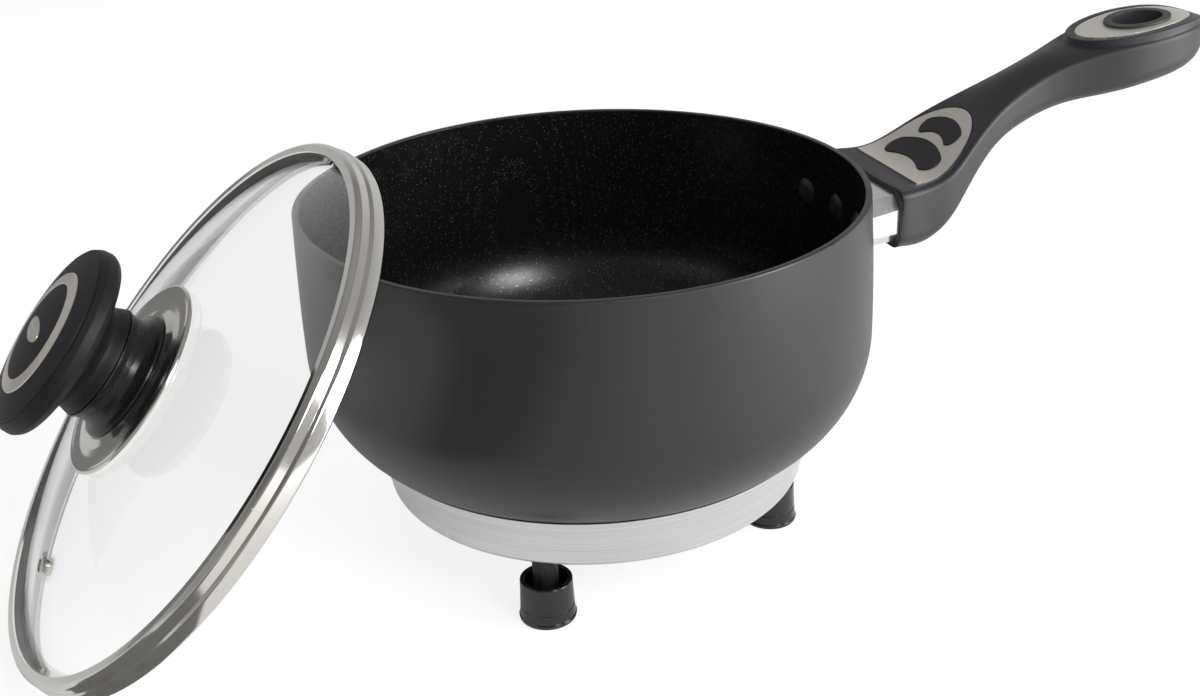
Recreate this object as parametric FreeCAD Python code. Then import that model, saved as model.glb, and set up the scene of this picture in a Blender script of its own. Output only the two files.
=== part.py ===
import FreeCAD, Part
import os
from math import sin, cos, tan, radians, sqrt, hypot, atan2, pi, degrees

# Electric hot pot: a coated aluminium pot on a ring-shaped heater base with
# four feet, a moulded stick handle, and a loose glass lid that leans on the
# pot's rim. Millimetres. Origin on the pot's axis at table height, +X along
# the handle, +Z up.

# Pot
mouth_radius = 100.0
belly_bulge = 1.8
base_height = 46.0
belly_rise = 38.0
bowed_wall_rise = 50.3
corner_overrun = 5.0
wall = 2.2
floor_thickness = 3.5
belly_radius = mouth_radius + belly_bulge
belly_height = base_height + belly_rise
rim_height = belly_height + bowed_wall_rise
corner_radius = belly_rise + corner_overrun

# Heater base, set in from the pot's belly and down from its floor
skirt_bottom_inset = 24.6
skirt_middle_inset = 22.4
skirt_top_inset = 17.4
skirt_depth = 18.3
skirt_middle_depth = 8.5
skirt_overlap = 3.0
skirt_bottom_radius = belly_radius - skirt_bottom_inset
skirt_middle_radius = belly_radius - skirt_middle_inset
skirt_top_radius = belly_radius - skirt_top_inset
skirt_bottom_height = base_height - skirt_depth
skirt_middle_height = base_height - skirt_middle_depth
skirt_top_height = base_height + skirt_overlap
skirt_wall = 1.5
skirt_edge_round = 3.5
skirt_flange_width = 5.7
joint_gap = 0.3
cover_thickness = 1.5
cover_edge_gap = 0.1
cover_bead_inset = 17.5
cover_bead_height = 1.0
gasket_width = 6.2
gasket_depth = 2.8
gasket_squeeze_gap = 0.05
skirt_flange_inner_radius = skirt_bottom_radius - skirt_flange_width
cover_radius = skirt_bottom_radius - skirt_edge_round - cover_edge_gap
cover_bead_radius = cover_radius - cover_bead_inset

# Inside the heater base
spreader_inset = 15.2
spreader_thickness = 4.0
element_inset = 17.0
element_tube_radius = 3.5
element_open_angle = 44.0
element_gap = 0.1
pin_radius = 1.3
pin_length = 9.0
thermostat_radius = 8.0
thermostat_height = 6.5
fuse_radius = 2.2
fuse_length = 12.0
fuse_lead_radius = 0.7
fuse_lead_gap = 0.25
shield_inset = 4.0
shield_thickness = 0.5
shield_above_cover = 2.3
stud_radius = 2.5
stud_clearance = 0.3
stud_below_cover = 4.8
spacer_radius = 5.0
nut_across_flats = 8.0
nut_height = 4.0
centre_nut_height = 3.0
washer_radius = 7.0
washer_thickness = 1.0
wire_radius = 1.2
wire_spacing = 9.0
wire_step_in = 9.0
spreader_radius = skirt_bottom_radius - spreader_inset
element_radius = spreader_radius - element_inset
shield_radius = spreader_radius - shield_inset

# Power inlet at the back of the base
inlet_azimuth = 90.0
inlet_width = 25.0
inlet_height = 13.4
inlet_floor_gap = 0.3
inlet_reach_in = 13.2
inlet_reach_out = 7.8
inlet_corner = 3.0
recess_width = 18.0
recess_height = 9.0
recess_depth = 11.0
recess_corner = 2.5
inlet_pin_radius = 1.2
inlet_pin_spacing = 8.6
inlet_pin_length = 9.0
inlet_tab_length = 4.0
inlet_inner_distance = skirt_bottom_radius - inlet_reach_in
inlet_outer_distance = skirt_bottom_radius + inlet_reach_out

# Legs and feet
leg_circle_inset = 11.0
leg_pair_turn = -72.85
front_leg_half_angle = 50.95
rear_leg_half_angle = 40.0
post_across_flats = 8.0
post_stud_radius = 2.5
post_stud_clearance = 0.2
leg_nut_height = 4.0
foot_height = 15.6
foot_top_radius = 9.2
foot_bottom_radius = 9.7
foot_lip_radius = 10.2
foot_lip_height = 1.6
foot_socket_floor = 3.0
foot_boss_height = 8.0
foot_bowl_radius = 7.6
foot_bowl_bottom_radius = 6.2
foot_socket_clearance = 0.1
leg_circle_radius = skirt_bottom_radius - leg_circle_inset

# Handle bracket and rivets
rivet_drop = 21.3
rivet_pitch = 21.3
rivet_shank_radius = 2.5
rivet_head_radius = 5.0
rivet_head_height = 1.7
rivet_tail_radius = 4.0
rivet_tail_height = 1.5
rivet_clearance = 0.05
rivet_tail_clearance = 0.2
rivet_height = rim_height - rivet_drop
bracket_half_width_pot = 29.0
bracket_half_width_handle = 27.6
bracket_below_rivets = 7.6
bracket_above_rivets_pot = 9.9
bracket_above_rivets_handle = 11.2
bracket_chamfer = 4.6
bracket_wall = 1.5
bracket_engagement = 6.0
tang_thickness = 4.0
tang_half_width = 8.0
tang_bends = ((12.0, 1.6), (40.0, 20.6), (56.0, 29.4))
tang_clearance = 0.3
tang_foot_width = 7.0
tang_screw_reach = 44.0
tang_screw_radius = 2.0
tang_screw_clearance = 0.1
tang_screw_head_radius = 4.0
tang_screw_head_height = 2.6
tang_screw_grip = 3.2

# Handle moulding: distance beyond its front face, half width, top and bottom
# above the line of the rivets, and how far the top face is crowned
handle_reach = 8.2
handle_front = belly_radius + handle_reach
handle_form = (
    (0.0, 29.6, 12.4, -9.9, 0.05),
    (6.0, 28.9, 12.6, -10.3, 0.05),
    (13.0, 27.6, 13.1, -9.9, 0.05),
    (21.0, 26.6, 15.8, -5.6, 0.05),
    (30.0, 23.2, 21.9, 3.1, 0.05),
    (40.0, 18.4, 29.1, 12.8, 0.30),
    (50.0, 14.4, 35.7, 19.6, 1.20),
    (60.0, 12.2, 41.2, 24.0, 2.00),
    (70.0, 11.6, 45.6, 27.5, 2.20),
    (80.0, 12.9, 48.8, 30.2, 1.80),
    (90.0, 15.8, 50.8, 32.0, 0.90),
    (100.0, 18.7, 52.2, 33.9, 0.30),
    (110.0, 19.7, 53.6, 35.9, 0.10),
    (120.0, 18.9, 54.8, 37.7, 0.05),
    (129.0, 15.8, 55.4, 39.6, 0.05),
    (135.0, 11.4, 55.0, 41.0, 0.05),
    (139.6, 5.6, 53.5, 43.0, 0.05),
)
handle_top_round = 2.4
handle_bottom_round = 6.5
handle_tip_round_share = 0.45
handle_stations = tuple((handle_front + x, w, rivet_height + t, rivet_height + b, c)
                        for x, w, t, b, c in handle_form)

# Trim on the handle, placed from the handle's front face
trim_recess_depth = 1.0
trim_proud = 0.5
trim_clearance = 0.15
trim_seat = 0.05
shield_front_reach = 9.0
shield_centre_reach = 13.5
shield_half_length = 27.5
shield_half_width = 23.4
slot_clearance = 0.15
pad_proud = 1.0
front_slot_arc_radius = 30.0
front_slot_centre_reach = -7.5
front_slot_half_width = 4.4
front_slot_half_angle = 24.0
rear_slot_arc_radius = 20.0
rear_slot_centre_reach = 13.2
rear_slot_half_width = 3.2
rear_slot_half_angle = 27.0
platform_centre_reach = 112.0
platform_half_length = 26.8
platform_half_width = 18.7
platform_rise = 2.2
platform_edge_round = 0.6
ring_plate_centre_reach = 111.6
ring_plate_half_length = 23.0
ring_plate_half_width = 14.8
ring_plate_proud = 0.1
hole_centre_reach = 113.6
hole_half_length = 9.6
hole_half_width = 8.2
grommet_wall = 1.5
grommet_flange = 3.0
grommet_flange_height = 0.9
grommet_clearance = 0.05
plan_reach = 200.0

# Lid, measured from its rear plane along its own axis
lid_overhang = 2.4
lid_height = 10.2
lid_step_height = 5.1
lid_step = 0.9
band_sheet = 0.8
band_shelf = 5.8
band_lip_depth = 0.7
glass_inset = 2.6
glass_edge_height = 6.1
glass_edge_drop = 21.4
glass_thickness = 4.0
seal_width = 5.1
seal_gap = 0.1
vent_inset = 33.9
vent_clock = 170.0
vent_radius = 2.2
vent_wall = 0.7
vent_clearance = 0.2
vent_flange_radius = 5.0
vent_flange_height = 0.9
lid_radius = mouth_radius + lid_overhang
band_inner_radius = lid_radius - band_shelf
glass_radius = lid_radius - glass_inset
glass_apex = glass_edge_height + glass_edge_drop
seal_inner_radius = lid_radius - seal_width
vent_distance = lid_radius - vent_inset

# Knob on the lid, heights above the glass's crown
dish_radius = 35.0
dish_edge_height = glass_apex - 0.9
dish_edge_thickness = 1.2
dish_valley_radius = 29.5
dish_valley_drop = 0.7
dish_bore_radius = 7.0
dish_seat_gap = 0.05
collar_foot_radius = 22.5
collar_foot_height = glass_apex + 0.1
collar_foot_edge = 1.0
collar_waist_radius = 18.7
collar_waist_height = collar_foot_height + 5.4
collar_rim_radius = 19.7
collar_rim_height = collar_foot_height + 10.4
collar_rim_edge = 0.9
neck_bottom_radius = 19.4
neck_radius = 18.2
neck_height = collar_rim_height + 4.5
cap_radius = 33.2
cap_under_height = collar_rim_height + 10.2
cap_wide_height = collar_rim_height + 13.6
cap_under_radius = 28.5
cap_groove_height = collar_rim_height + 18.6
cap_groove_radius = 31.4
cap_groove_depth = 0.7
cap_apex = collar_rim_height + 23.0
inlay_outer_radius = 21.8
inlay_band = 4.6
inlay_depth = 1.0
inlay_proud = 0.25
inlay_clearance = 0.12
inlay_bar_half_width = 3.4
inlay_bar_half_length = 8.5
knob_bore_radius = 2.6
knob_screw_radius = 2.4
knob_screw_clearance = 0.2
knob_screw_head_radius = 5.0
knob_screw_head_height = 2.6
knob_screw_end_height = collar_rim_height + 16.0
knob_screw_end_room = 0.6
knob_washer_radius = 9.0
knob_washer_thickness = 1.0
knob_seal_radius = 8.0
knob_seal_thickness = 1.2
glass_bore_radius = 4.0

# Where the lid stands: it leans on the rim at the side away from the handle
lid_azimuth = 181.1
lid_turn = 3.0
lid_slope = 42.0
lid_rest_gap = 0.3

Z = FreeCAD.Vector(0, 0, 1)
ORIGIN = FreeCAD.Vector(0, 0, 0)


def vec(x, y, z=0.0):
    return FreeCAD.Vector(x, y, z)


def save(shape, name):
    """Check one sub-part and write it under its node's name."""
    shape = shape.removeSplitter() if shape.ShapeType != "Compound" else shape
    for solid in shape.Solids:
        if not solid.isValid() or solid.Volume <= 0:
            raise ValueError("bad solid in " + name)
    if not shape.Solids:
        raise ValueError("no solid in " + name)
    part = shape.Solids[0] if len(shape.Solids) == 1 else Part.makeCompound(shape.Solids)
    part.exportStep("parts/" + name + ".step")
    return part


def line(a, b):
    return Part.LineSegment(vec(a[0], 0, a[1]), vec(b[0], 0, b[1])).toShape()


def arc(a, middle, b):
    points = [vec(p[0], 0, p[1]) for p in (a, middle, b)]
    return Part.Arc(*points).toShape()


def turned(edges):
    """Spin a closed half section, drawn as radius and height, round the Z axis."""
    face = Part.Face(Part.Wire(edges))
    solid = face.revolve(ORIGIN, Z, 360)
    if solid.Volume < 0:
        solid.reverse()
    return solid


def turned_polygon(points):
    """Spin a closed half section with straight sides."""
    closed = list(points) + [points[0]]
    return turned([line(a, b) for a, b in zip(closed, closed[1:])])


def ribbon(points, thickness):
    """Outline of a folded strip: the centre line pushed out to both sides, with mitred bends."""
    left = []
    right = []
    last = len(points) - 1
    for i, (x, y) in enumerate(points):
        before = points[max(i - 1, 0)]
        after = points[min(i + 1, last)]
        ahead = atan2(after[1] - y, after[0] - x) if i < last else None
        behind = atan2(y - before[1], x - before[0]) if i > 0 else ahead
        ahead = behind if ahead is None else ahead
        turn = (ahead - behind + pi) % (2 * pi) - pi
        side = behind + turn / 2 + pi / 2
        reach = thickness / 2 / cos(turn / 2)
        left.append((x + reach * cos(side), y + reach * sin(side)))
        right.append((x - reach * cos(side), y - reach * sin(side)))
    return left + right[::-1]


def hexagon(across_flats, height, bottom, turn=0.0):
    corner = across_flats / sqrt(3.0)
    corners = [vec(corner * cos(radians(60 * k + turn)), corner * sin(radians(60 * k + turn)), bottom)
               for k in range(6)]
    return Part.Face(Part.makePolygon(corners + [corners[0]])).extrude(vec(0, 0, height))


def rounded_box(x_size, y_size, z_size, corner):
    """A box on the origin with the four edges along Y rounded."""
    box = Part.makeBox(x_size, y_size, z_size, vec(-x_size / 2, 0, 0))
    edges = [e for e in box.Edges if abs(e.Vertexes[0].Y - e.Vertexes[1].Y) > y_size / 2]
    return box.makeFillet(corner, edges)


def round_corners(shape, radius, wanted):
    """Round the circular edges that the test picks by radius and height."""
    edges = []
    for edge in shape.Edges:
        curve = edge.Curve
        if isinstance(curve, Part.Circle) and wanted(curve.Radius, curve.Center.z):
            edges.append(edge)
    return shape.makeFillet(radius, edges) if edges else shape


# Pot body: one revolved profile, a bowed wall on a large corner radius
bow_rise = rim_height - belly_height
bow_radius = (bow_rise ** 2 + (belly_radius - mouth_radius) ** 2) / (2 * (belly_radius - mouth_radius))


def wall_point(height, inset=0.0):
    """Radius of the bowed wall or its rounded corner at a height, moved inwards by inset."""
    if height >= belly_height:
        rise = height - belly_height
        return belly_radius - bow_radius + sqrt((bow_radius - inset) ** 2 - rise ** 2)
    drop = belly_height - height
    return belly_radius - corner_radius + sqrt((corner_radius - inset) ** 2 - drop ** 2)


def pot_profile(inset, bottom, top):
    """Closed half section of the pot's outside, or of its hollow when inset by the wall."""
    foot = (wall_point(bottom, inset), bottom)
    half_drop = (belly_height + bottom) / 2
    side = (wall_point(belly_height, inset), belly_height)
    lip = (wall_point(top, inset), top)
    return [line((0, bottom), foot),
            arc(foot, (wall_point(half_drop, inset), half_drop), side),
            arc(side, (wall_point((belly_height + top) / 2, inset), (belly_height + top) / 2), lip),
            line(lip, (0, top)),
            line((0, top), (0, bottom))]


pot_envelope = turned(pot_profile(0.0, base_height, rim_height))
pot_hollow = turned(pot_profile(wall, base_height + floor_thickness, rim_height))
pot_shell = pot_envelope.cut(pot_hollow)


def rivet_axis(step):
    """Direction of one rivet; the middle one lies under the handle."""
    angle = step * rivet_pitch / mouth_radius
    return vec(cos(angle), sin(angle), 0)


rivet_inside = wall_point(rivet_height, wall)
rivet_outside = belly_radius + bracket_wall
rivet_steps = (-1, 0, 1)


def rivet_holes(start, end):
    """The holes for the shanks through the pot wall and the bracket's back plate."""
    cutters = [Part.makeCylinder(rivet_shank_radius + rivet_clearance, end - start,
                                 vec(0, 0, rivet_height) + rivet_axis(k) * start, rivet_axis(k))
               for k in rivet_steps]
    return Part.makeCompound(cutters)


pot_body = pot_shell.cut(rivet_holes(rivet_inside - 8, rivet_outside + 8))

# Rivets: a low domed head inside the pot and an upset tail behind the back plate
rivets = []
for k in rivet_steps:
    direction = rivet_axis(k)
    seat = vec(0, 0, rivet_height)
    shank_start = rivet_inside - rivet_head_height
    shank = Part.makeCylinder(rivet_shank_radius, rivet_outside + rivet_tail_height - shank_start,
                              seat + direction * shank_start, direction)
    crown = (rivet_head_radius ** 2 + rivet_head_height ** 2) / (2 * rivet_head_height)
    dome = Part.makeSphere(crown, seat + direction * (rivet_inside - rivet_head_height + crown))
    disc = Part.makeCylinder(rivet_head_radius, rivet_head_height * 2,
                             seat + direction * (rivet_inside - rivet_head_height), direction)
    head = dome.common(disc).cut(pot_envelope.cut(pot_hollow))
    head = max(head.Solids, key=lambda s: -hypot(s.CenterOfMass.x, s.CenterOfMass.y))
    tail = Part.makeCone(rivet_tail_radius, rivet_tail_radius * 0.75, rivet_tail_height,
                         seat + direction * rivet_outside, direction)
    rivets.append(shank.fuse([head, tail]).removeSplitter())
handle_rivets = Part.makeCompound(rivets)

# Handle bracket: a hollow bevelled sleeve with a back plate that fits the pot's wall
bracket_end = handle_front + bracket_engagement - tang_clearance


def bevelled_wire(x, half_width, bottom, top, inset):
    """An upright rectangle with cut corners, seen along the handle."""
    w = half_width - inset
    low = bottom + inset
    high = top - inset
    c = bracket_chamfer - inset * (2 - sqrt(2.0))
    outline = ((w - c, low), (w, low + c), (w, high - c), (w - c, high),
               (c - w, high), (-w, high - c), (-w, low + c), (c - w, low))
    points = [vec(x, y, z) for y, z in outline]
    return Part.makePolygon(points + [points[0]])


def bracket_prism(inset, start, end, extra=0.0):
    """The sleeve's bevelled body between two distances, eased to its section at the handle."""
    def section(x):
        share = (x - belly_radius) / (bracket_end - belly_radius)
        half = bracket_half_width_pot + share * (bracket_half_width_handle - bracket_half_width_pot)
        rise = bracket_above_rivets_pot + share * (bracket_above_rivets_handle - bracket_above_rivets_pot)
        return bevelled_wire(x, half + extra, rivet_height - bracket_below_rivets - extra,
                             rivet_height + rise + extra, inset)
    return Part.makeLoft([section(start), section(end)], True, True)


bracket_start = sqrt(mouth_radius ** 2 - bracket_half_width_pot ** 2) - 12
back_plate = Part.makeCylinder(belly_radius + bracket_wall, 60, vec(0, 0, rivet_height - 30))
bracket_hollow = bracket_prism(bracket_wall, bracket_start, bracket_end + 5).cut(back_plate)
handle_bracket = bracket_prism(0.0, bracket_start, bracket_end).cut(pot_envelope).cut(bracket_hollow)
handle_bracket = max(handle_bracket.Solids, key=lambda s: s.CenterOfMass.x)
handle_bracket = handle_bracket.cut(rivet_holes(rivet_inside - 8, rivet_outside + 8))
tail_room = [Part.makeCylinder(rivet_tail_radius + rivet_tail_clearance, 12,
                               vec(0, 0, rivet_height) + rivet_axis(k) * rivet_outside, rivet_axis(k))
             for k in rivet_steps]
handle_bracket = handle_bracket.cut(Part.makeCompound(tail_room))
handle_rivets = Part.makeCompound([r.cut(handle_bracket).Solids[0] for r in rivets])

# Handle tang: a flat bar welded to the back plate, bent to follow the handle
tang_root = belly_radius + bracket_wall + rivet_tail_height + 0.4
tang_points = tuple((handle_front + x, rivet_height + z) for x, z in tang_bends)
tang_line = ((tang_root, tang_points[0][1]),) + tang_points


def tang_bar(extra):
    """The bar, or the slot for it when extra is the clearance all round."""
    points = list(tang_line)
    end = points[-1]
    before = points[-2]
    slope = atan2(end[1] - before[1], end[0] - before[0])
    points[-1] = (end[0] + extra * cos(slope), end[1] + extra * sin(slope))
    outline = ribbon(points, tang_thickness + 2 * extra)
    half = tang_half_width + extra
    corners = [vec(x, -half, z) for x, z in outline]
    return Part.Face(Part.makePolygon(corners + [corners[0]])).extrude(vec(0, 2 * half, 0))


tang_foot = Part.makeBox(tang_root - belly_radius, tang_foot_width, tang_thickness,
                         vec(belly_radius, 0, tang_line[0][1] - tang_thickness / 2))
foot_shift = rivet_tail_radius + 0.8
tang_feet = [tang_foot.translated(vec(0, foot_shift, 0)),
             tang_foot.translated(vec(0, -foot_shift - tang_foot_width, 0))]
handle_tang = tang_bar(0.0).fuse(tang_feet)
handle_tang = handle_tang.cut(pot_envelope).cut(handle_bracket)
handle_tang = max(handle_tang.Solids, key=lambda s: s.Volume)

# Handle body: a loft through rounded sections that follow the hand


def handle_section(x, half_width, top, bottom, crown):
    """One upright section: crowned top with tight corners, flat bottom with full corners."""
    limit = handle_tip_round_share * min(2 * half_width, top - bottom)
    r_top = min(handle_top_round, limit)
    r_low = min(handle_bottom_round, limit)
    k = 1 - sqrt(0.5)
    edges = []

    def straight(a, b):
        edges.append(Part.LineSegment(vec(x, *a), vec(x, *b)).toShape())

    def corner(a, middle, b):
        edges.append(Part.Arc(vec(x, *a), vec(x, *middle), vec(x, *b)).toShape())

    w = half_width
    shoulder = top - crown
    corner((w - r_top, shoulder), (0, top), (r_top - w, shoulder))
    top = shoulder
    corner((r_top - w, top), (k * r_top - w, top - k * r_top), (-w, top - r_top))
    straight((-w, top - r_top), (-w, bottom + r_low))
    corner((-w, bottom + r_low), (k * r_low - w, bottom + k * r_low), (r_low - w, bottom))
    straight((r_low - w, bottom), (w - r_low, bottom))
    corner((w - r_low, bottom), (w - k * r_low, bottom + k * r_low), (w, bottom + r_low))
    straight((w, bottom + r_low), (w, top - r_top))
    corner((w, top - r_top), (w - k * r_top, top - k * r_top), (w - r_top, top))
    return Part.Wire(edges)


handle_solid = Part.makeLoft([handle_section(*s) for s in handle_stations], True, False)
if handle_solid.Volume < 0:
    handle_solid.reverse()

top_curve = Part.BSplineCurve()
top_curve.interpolate([vec(x, 0, top) for x, _, top, _, _ in handle_stations])


def top_skin(below, above, half_width=40.0):
    """A layer that follows the handle's top face, from below it to above it."""
    edge = top_curve.toShape()
    lower = edge.translated(vec(0, -half_width, -below))
    face = lower.extrude(vec(0, 0, below + above))
    return face.extrude(vec(0, 2 * half_width, 0))


def upright(wire):
    """A flat outline in plan, drawn up past everything."""
    return Part.Face(wire).extrude(vec(0, 0, plan_reach))


def oval(centre, half_length, half_width):
    """An oval wire in plan."""
    if half_length >= half_width:
        shape = Part.Ellipse(vec(centre, 0, 0), half_length, half_width).toShape()
        return Part.Wire([shape])
    curve = Part.Ellipse(vec(centre, half_width, 0), vec(centre + half_length, 0, 0), vec(centre, 0, 0))
    return Part.Wire([curve.toShape()])


def shield_outline(offset):
    """A rounded shield: most of an oval, cut straight across at the pot's side."""
    a = shield_half_length + offset
    b = shield_half_width + offset
    blade = upright(oval(handle_front + shield_centre_reach, a, b))
    front = handle_front + shield_front_reach - offset
    keep = Part.makeBox(plan_reach, plan_reach, plan_reach, vec(front, -plan_reach / 2, 0))
    return blade.common(keep)


def bent_slot(centre, arc_radius, half_width, half_angle, offset):
    """A curved slot with round ends, bent round a point on the handle's centre line."""
    outer = arc_radius + half_width + offset
    inner = arc_radius - half_width - offset
    a = radians(half_angle)

    def at(r, angle):
        return vec(centre + r * cos(angle), r * sin(angle), 0)

    end_reach = half_width + offset
    bulge = a + end_reach / arc_radius
    edges = [Part.Arc(at(outer, -a), at(outer, 0), at(outer, a)).toShape(),
             Part.Arc(at(outer, a), at(arc_radius, bulge), at(inner, a)).toShape(),
             Part.Arc(at(inner, a), at(inner, 0), at(inner, -a)).toShape(),
             Part.Arc(at(inner, -a), at(arc_radius, -bulge), at(outer, -a)).toShape()]
    return upright(Part.Wire(edges))


front_slot = (handle_front + front_slot_centre_reach, front_slot_arc_radius, front_slot_half_width, front_slot_half_angle)
rear_slot = (handle_front + rear_slot_centre_reach, rear_slot_arc_radius, rear_slot_half_width, rear_slot_half_angle)

plate_layer = top_skin(trim_recess_depth - trim_seat, trim_proud)
recess_layer = top_skin(trim_recess_depth, 12.0)
pad_layer = top_skin(trim_recess_depth - trim_seat, pad_proud)

platform_centre = handle_front + platform_centre_reach
ring_plate_centre = handle_front + ring_plate_centre_reach
hole_centre = handle_front + hole_centre_reach
platform = upright(oval(platform_centre, platform_half_length, platform_half_width))
platform = platform.common(top_skin(3.0, platform_rise))
platform = platform.Solids[0]
platform_rims = [e for e in platform.Edges if e.BoundBox.XLength > platform_half_length
                 and e.CenterOfMass.z > platform.CenterOfMass.z]
platform = platform.makeFillet(platform_edge_round, platform_rims)
handle_body = handle_solid.fuse(platform)
handle_envelope = handle_body

bracket_pocket = bracket_prism(0.0, handle_front - 6, bracket_end + tang_clearance, extra=trim_clearance)
end_plate_layer = top_skin(trim_recess_depth - trim_seat - platform_rise, platform_rise + ring_plate_proud)
end_recess_layer = top_skin(trim_recess_depth - platform_rise, 14.0)
ring_plate_recess = upright(oval(ring_plate_centre, ring_plate_half_length + trim_clearance,
                                 ring_plate_half_width + trim_clearance)).common(end_recess_layer)
hang_bore = upright(oval(hole_centre, hole_half_length + grommet_wall, hole_half_width + grommet_wall))

screw_base = None
for (x0, z0), (x1, z1) in zip(tang_line, tang_line[1:]):
    tang_screw_distance = handle_front + tang_screw_reach
    if x0 <= tang_screw_distance <= x1:
        share = (tang_screw_distance - x0) / (x1 - x0)
        screw_base = vec(tang_screw_distance, 0, z0 + share * (z1 - z0))
        screw_lean = atan2(z1 - z0, x1 - x0)
screw_axis = vec(sin(screw_lean), 0, -cos(screw_lean))
screw_room = Part.makeCylinder(tang_screw_radius + tang_screw_clearance, 30, screw_base, screw_axis)
screw_seat_distance = tang_thickness / 2 + tang_screw_grip
head_room = Part.makeCylinder(tang_screw_head_radius + 2 * tang_screw_clearance, 30,
                              screw_base + screw_axis * screw_seat_distance, screw_axis)

handle_body = handle_body.cut(Part.makeCompound([bracket_pocket]))
handle_body = handle_body.cut(tang_bar(tang_clearance))
handle_body = handle_body.cut(screw_room).cut(head_room)
handle_body = handle_body.cut(shield_outline(trim_clearance).common(recess_layer))
handle_body = handle_body.cut(ring_plate_recess)
handle_body = handle_body.cut(hang_bore)
handle_body = max(handle_body.Solids, key=lambda s: s.Volume)

tang_screw = Part.makeCylinder(tang_screw_radius, tang_thickness / 2 + screw_seat_distance,
                               screw_base - screw_axis * (tang_thickness / 2), screw_axis)
tang_screw = tang_screw.fuse(Part.makeCone(tang_screw_head_radius, tang_screw_head_radius * 0.8,
                                           tang_screw_head_height,
                                           screw_base + screw_axis * screw_seat_distance, screw_axis))
handle_tang = handle_tang.cut(Part.makeCylinder(tang_screw_radius, 12,
                                                screw_base - screw_axis * 6, screw_axis))

# Trim: a shield plate with two curved slots, a soft pad in each, and an oval ring plate
handle_shield_plate = shield_outline(0.0).common(plate_layer)
handle_shield_plate = handle_shield_plate.cut(bent_slot(*front_slot, 0.0)).cut(bent_slot(*rear_slot, 0.0))
front_grip_pad = bent_slot(*front_slot, -slot_clearance).common(pad_layer)
rear_grip_pad = bent_slot(*rear_slot, -slot_clearance).common(pad_layer)

hang_hole_plate = upright(oval(ring_plate_centre, ring_plate_half_length, ring_plate_half_width))
hang_hole_plate = hang_hole_plate.common(end_plate_layer)
plate_hole_offset = grommet_wall + grommet_clearance
hang_hole_plate = hang_hole_plate.cut(upright(oval(hole_centre, hole_half_length + plate_hole_offset,
                                                   hole_half_width + plate_hole_offset)))
grommet_tube = upright(oval(hole_centre, hole_half_length + grommet_wall,
                            hole_half_width + grommet_wall)).common(handle_envelope)
grommet_top = upright(oval(hole_centre, hole_half_length + grommet_flange, hole_half_width + grommet_flange))
grommet_top = grommet_top.common(top_skin(-(platform_rise + ring_plate_proud),
                                          platform_rise + ring_plate_proud + grommet_flange_height))
grommet_core = upright(oval(hole_centre, hole_half_length + grommet_wall,
                            hole_half_width + grommet_wall)).common(
    top_skin(2.0, platform_rise + ring_plate_proud + grommet_flange_height))
hang_hole_grommet = grommet_tube.fuse([grommet_core, grommet_top])
hang_hole_grommet = hang_hole_grommet.cut(upright(oval(hole_centre, hole_half_length, hole_half_width)))

# Base skirt: a spun aluminium ring whose upper edge follows the pot's rounded corner


def skirt_outside(height, inset=0.0):
    """Radius of the flared skirt: an arc through its three named points."""
    x1, y1 = skirt_bottom_radius, skirt_bottom_height
    x2, y2 = skirt_middle_radius, skirt_middle_height
    x3, y3 = skirt_top_radius, skirt_top_height
    d = 2 * (x1 * (y2 - y3) + x2 * (y3 - y1) + x3 * (y1 - y2))
    s1, s2, s3 = x1 * x1 + y1 * y1, x2 * x2 + y2 * y2, x3 * x3 + y3 * y3
    centre_r = (s1 * (y2 - y3) + s2 * (y3 - y1) + s3 * (y1 - y2)) / d
    centre_z = (s1 * (x3 - x2) + s2 * (x1 - x3) + s3 * (x2 - x1)) / d
    reach = hypot(x1 - centre_r, y1 - centre_z)
    flare = -1 if centre_r > x1 else 1
    return centre_r + flare * sqrt((reach - flare * inset) ** 2 - (height - centre_z) ** 2)


def skirt_solid(inset, bottom):
    """The skirt's outside as a full solid, or its inside when inset by the wall."""
    middle = (bottom + skirt_top_height) / 2
    low = (skirt_outside(bottom, inset), bottom)
    high = (skirt_outside(skirt_top_height, inset), skirt_top_height)
    return turned([line((0, bottom), low),
                   arc(low, (skirt_outside(middle, inset), middle), high),
                   line(high, (0, skirt_top_height)),
                   line((0, skirt_top_height), (0, bottom))])


flange_top = skirt_bottom_height + skirt_wall
skirt_full = round_corners(skirt_solid(0.0, skirt_bottom_height), skirt_edge_round,
                           lambda r, z: abs(z - skirt_bottom_height) < 0.01)
skirt_hollow = round_corners(skirt_solid(skirt_wall, flange_top), skirt_edge_round - skirt_wall,
                             lambda r, z: abs(z - flange_top) < 0.01)
pot_clear = turned([line((0, base_height - joint_gap),
                         (wall_point(base_height), base_height - joint_gap)),
                    line((wall_point(base_height), base_height - joint_gap),
                         (belly_radius - corner_radius + sqrt((corner_radius + joint_gap) ** 2
                                                              - (belly_height - base_height) ** 2),
                          base_height)),
                    arc((belly_radius - corner_radius + sqrt((corner_radius + joint_gap) ** 2
                                                             - (belly_height - base_height) ** 2), base_height),
                        (belly_radius - corner_radius + (corner_radius + joint_gap) * cos(radians(30)),
                         belly_height - (corner_radius + joint_gap) * sin(radians(30))),
                        (belly_radius + joint_gap, belly_height)),
                    line((belly_radius + joint_gap, belly_height), (0, belly_height)),
                    line((0, belly_height), (0, base_height - joint_gap))])
base_skirt = skirt_full.cut(skirt_hollow).cut(Part.makeCylinder(skirt_flange_inner_radius, 10,
                                                                vec(0, 0, skirt_bottom_height - 2)))
base_skirt = base_skirt.cut(pot_clear)

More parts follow.
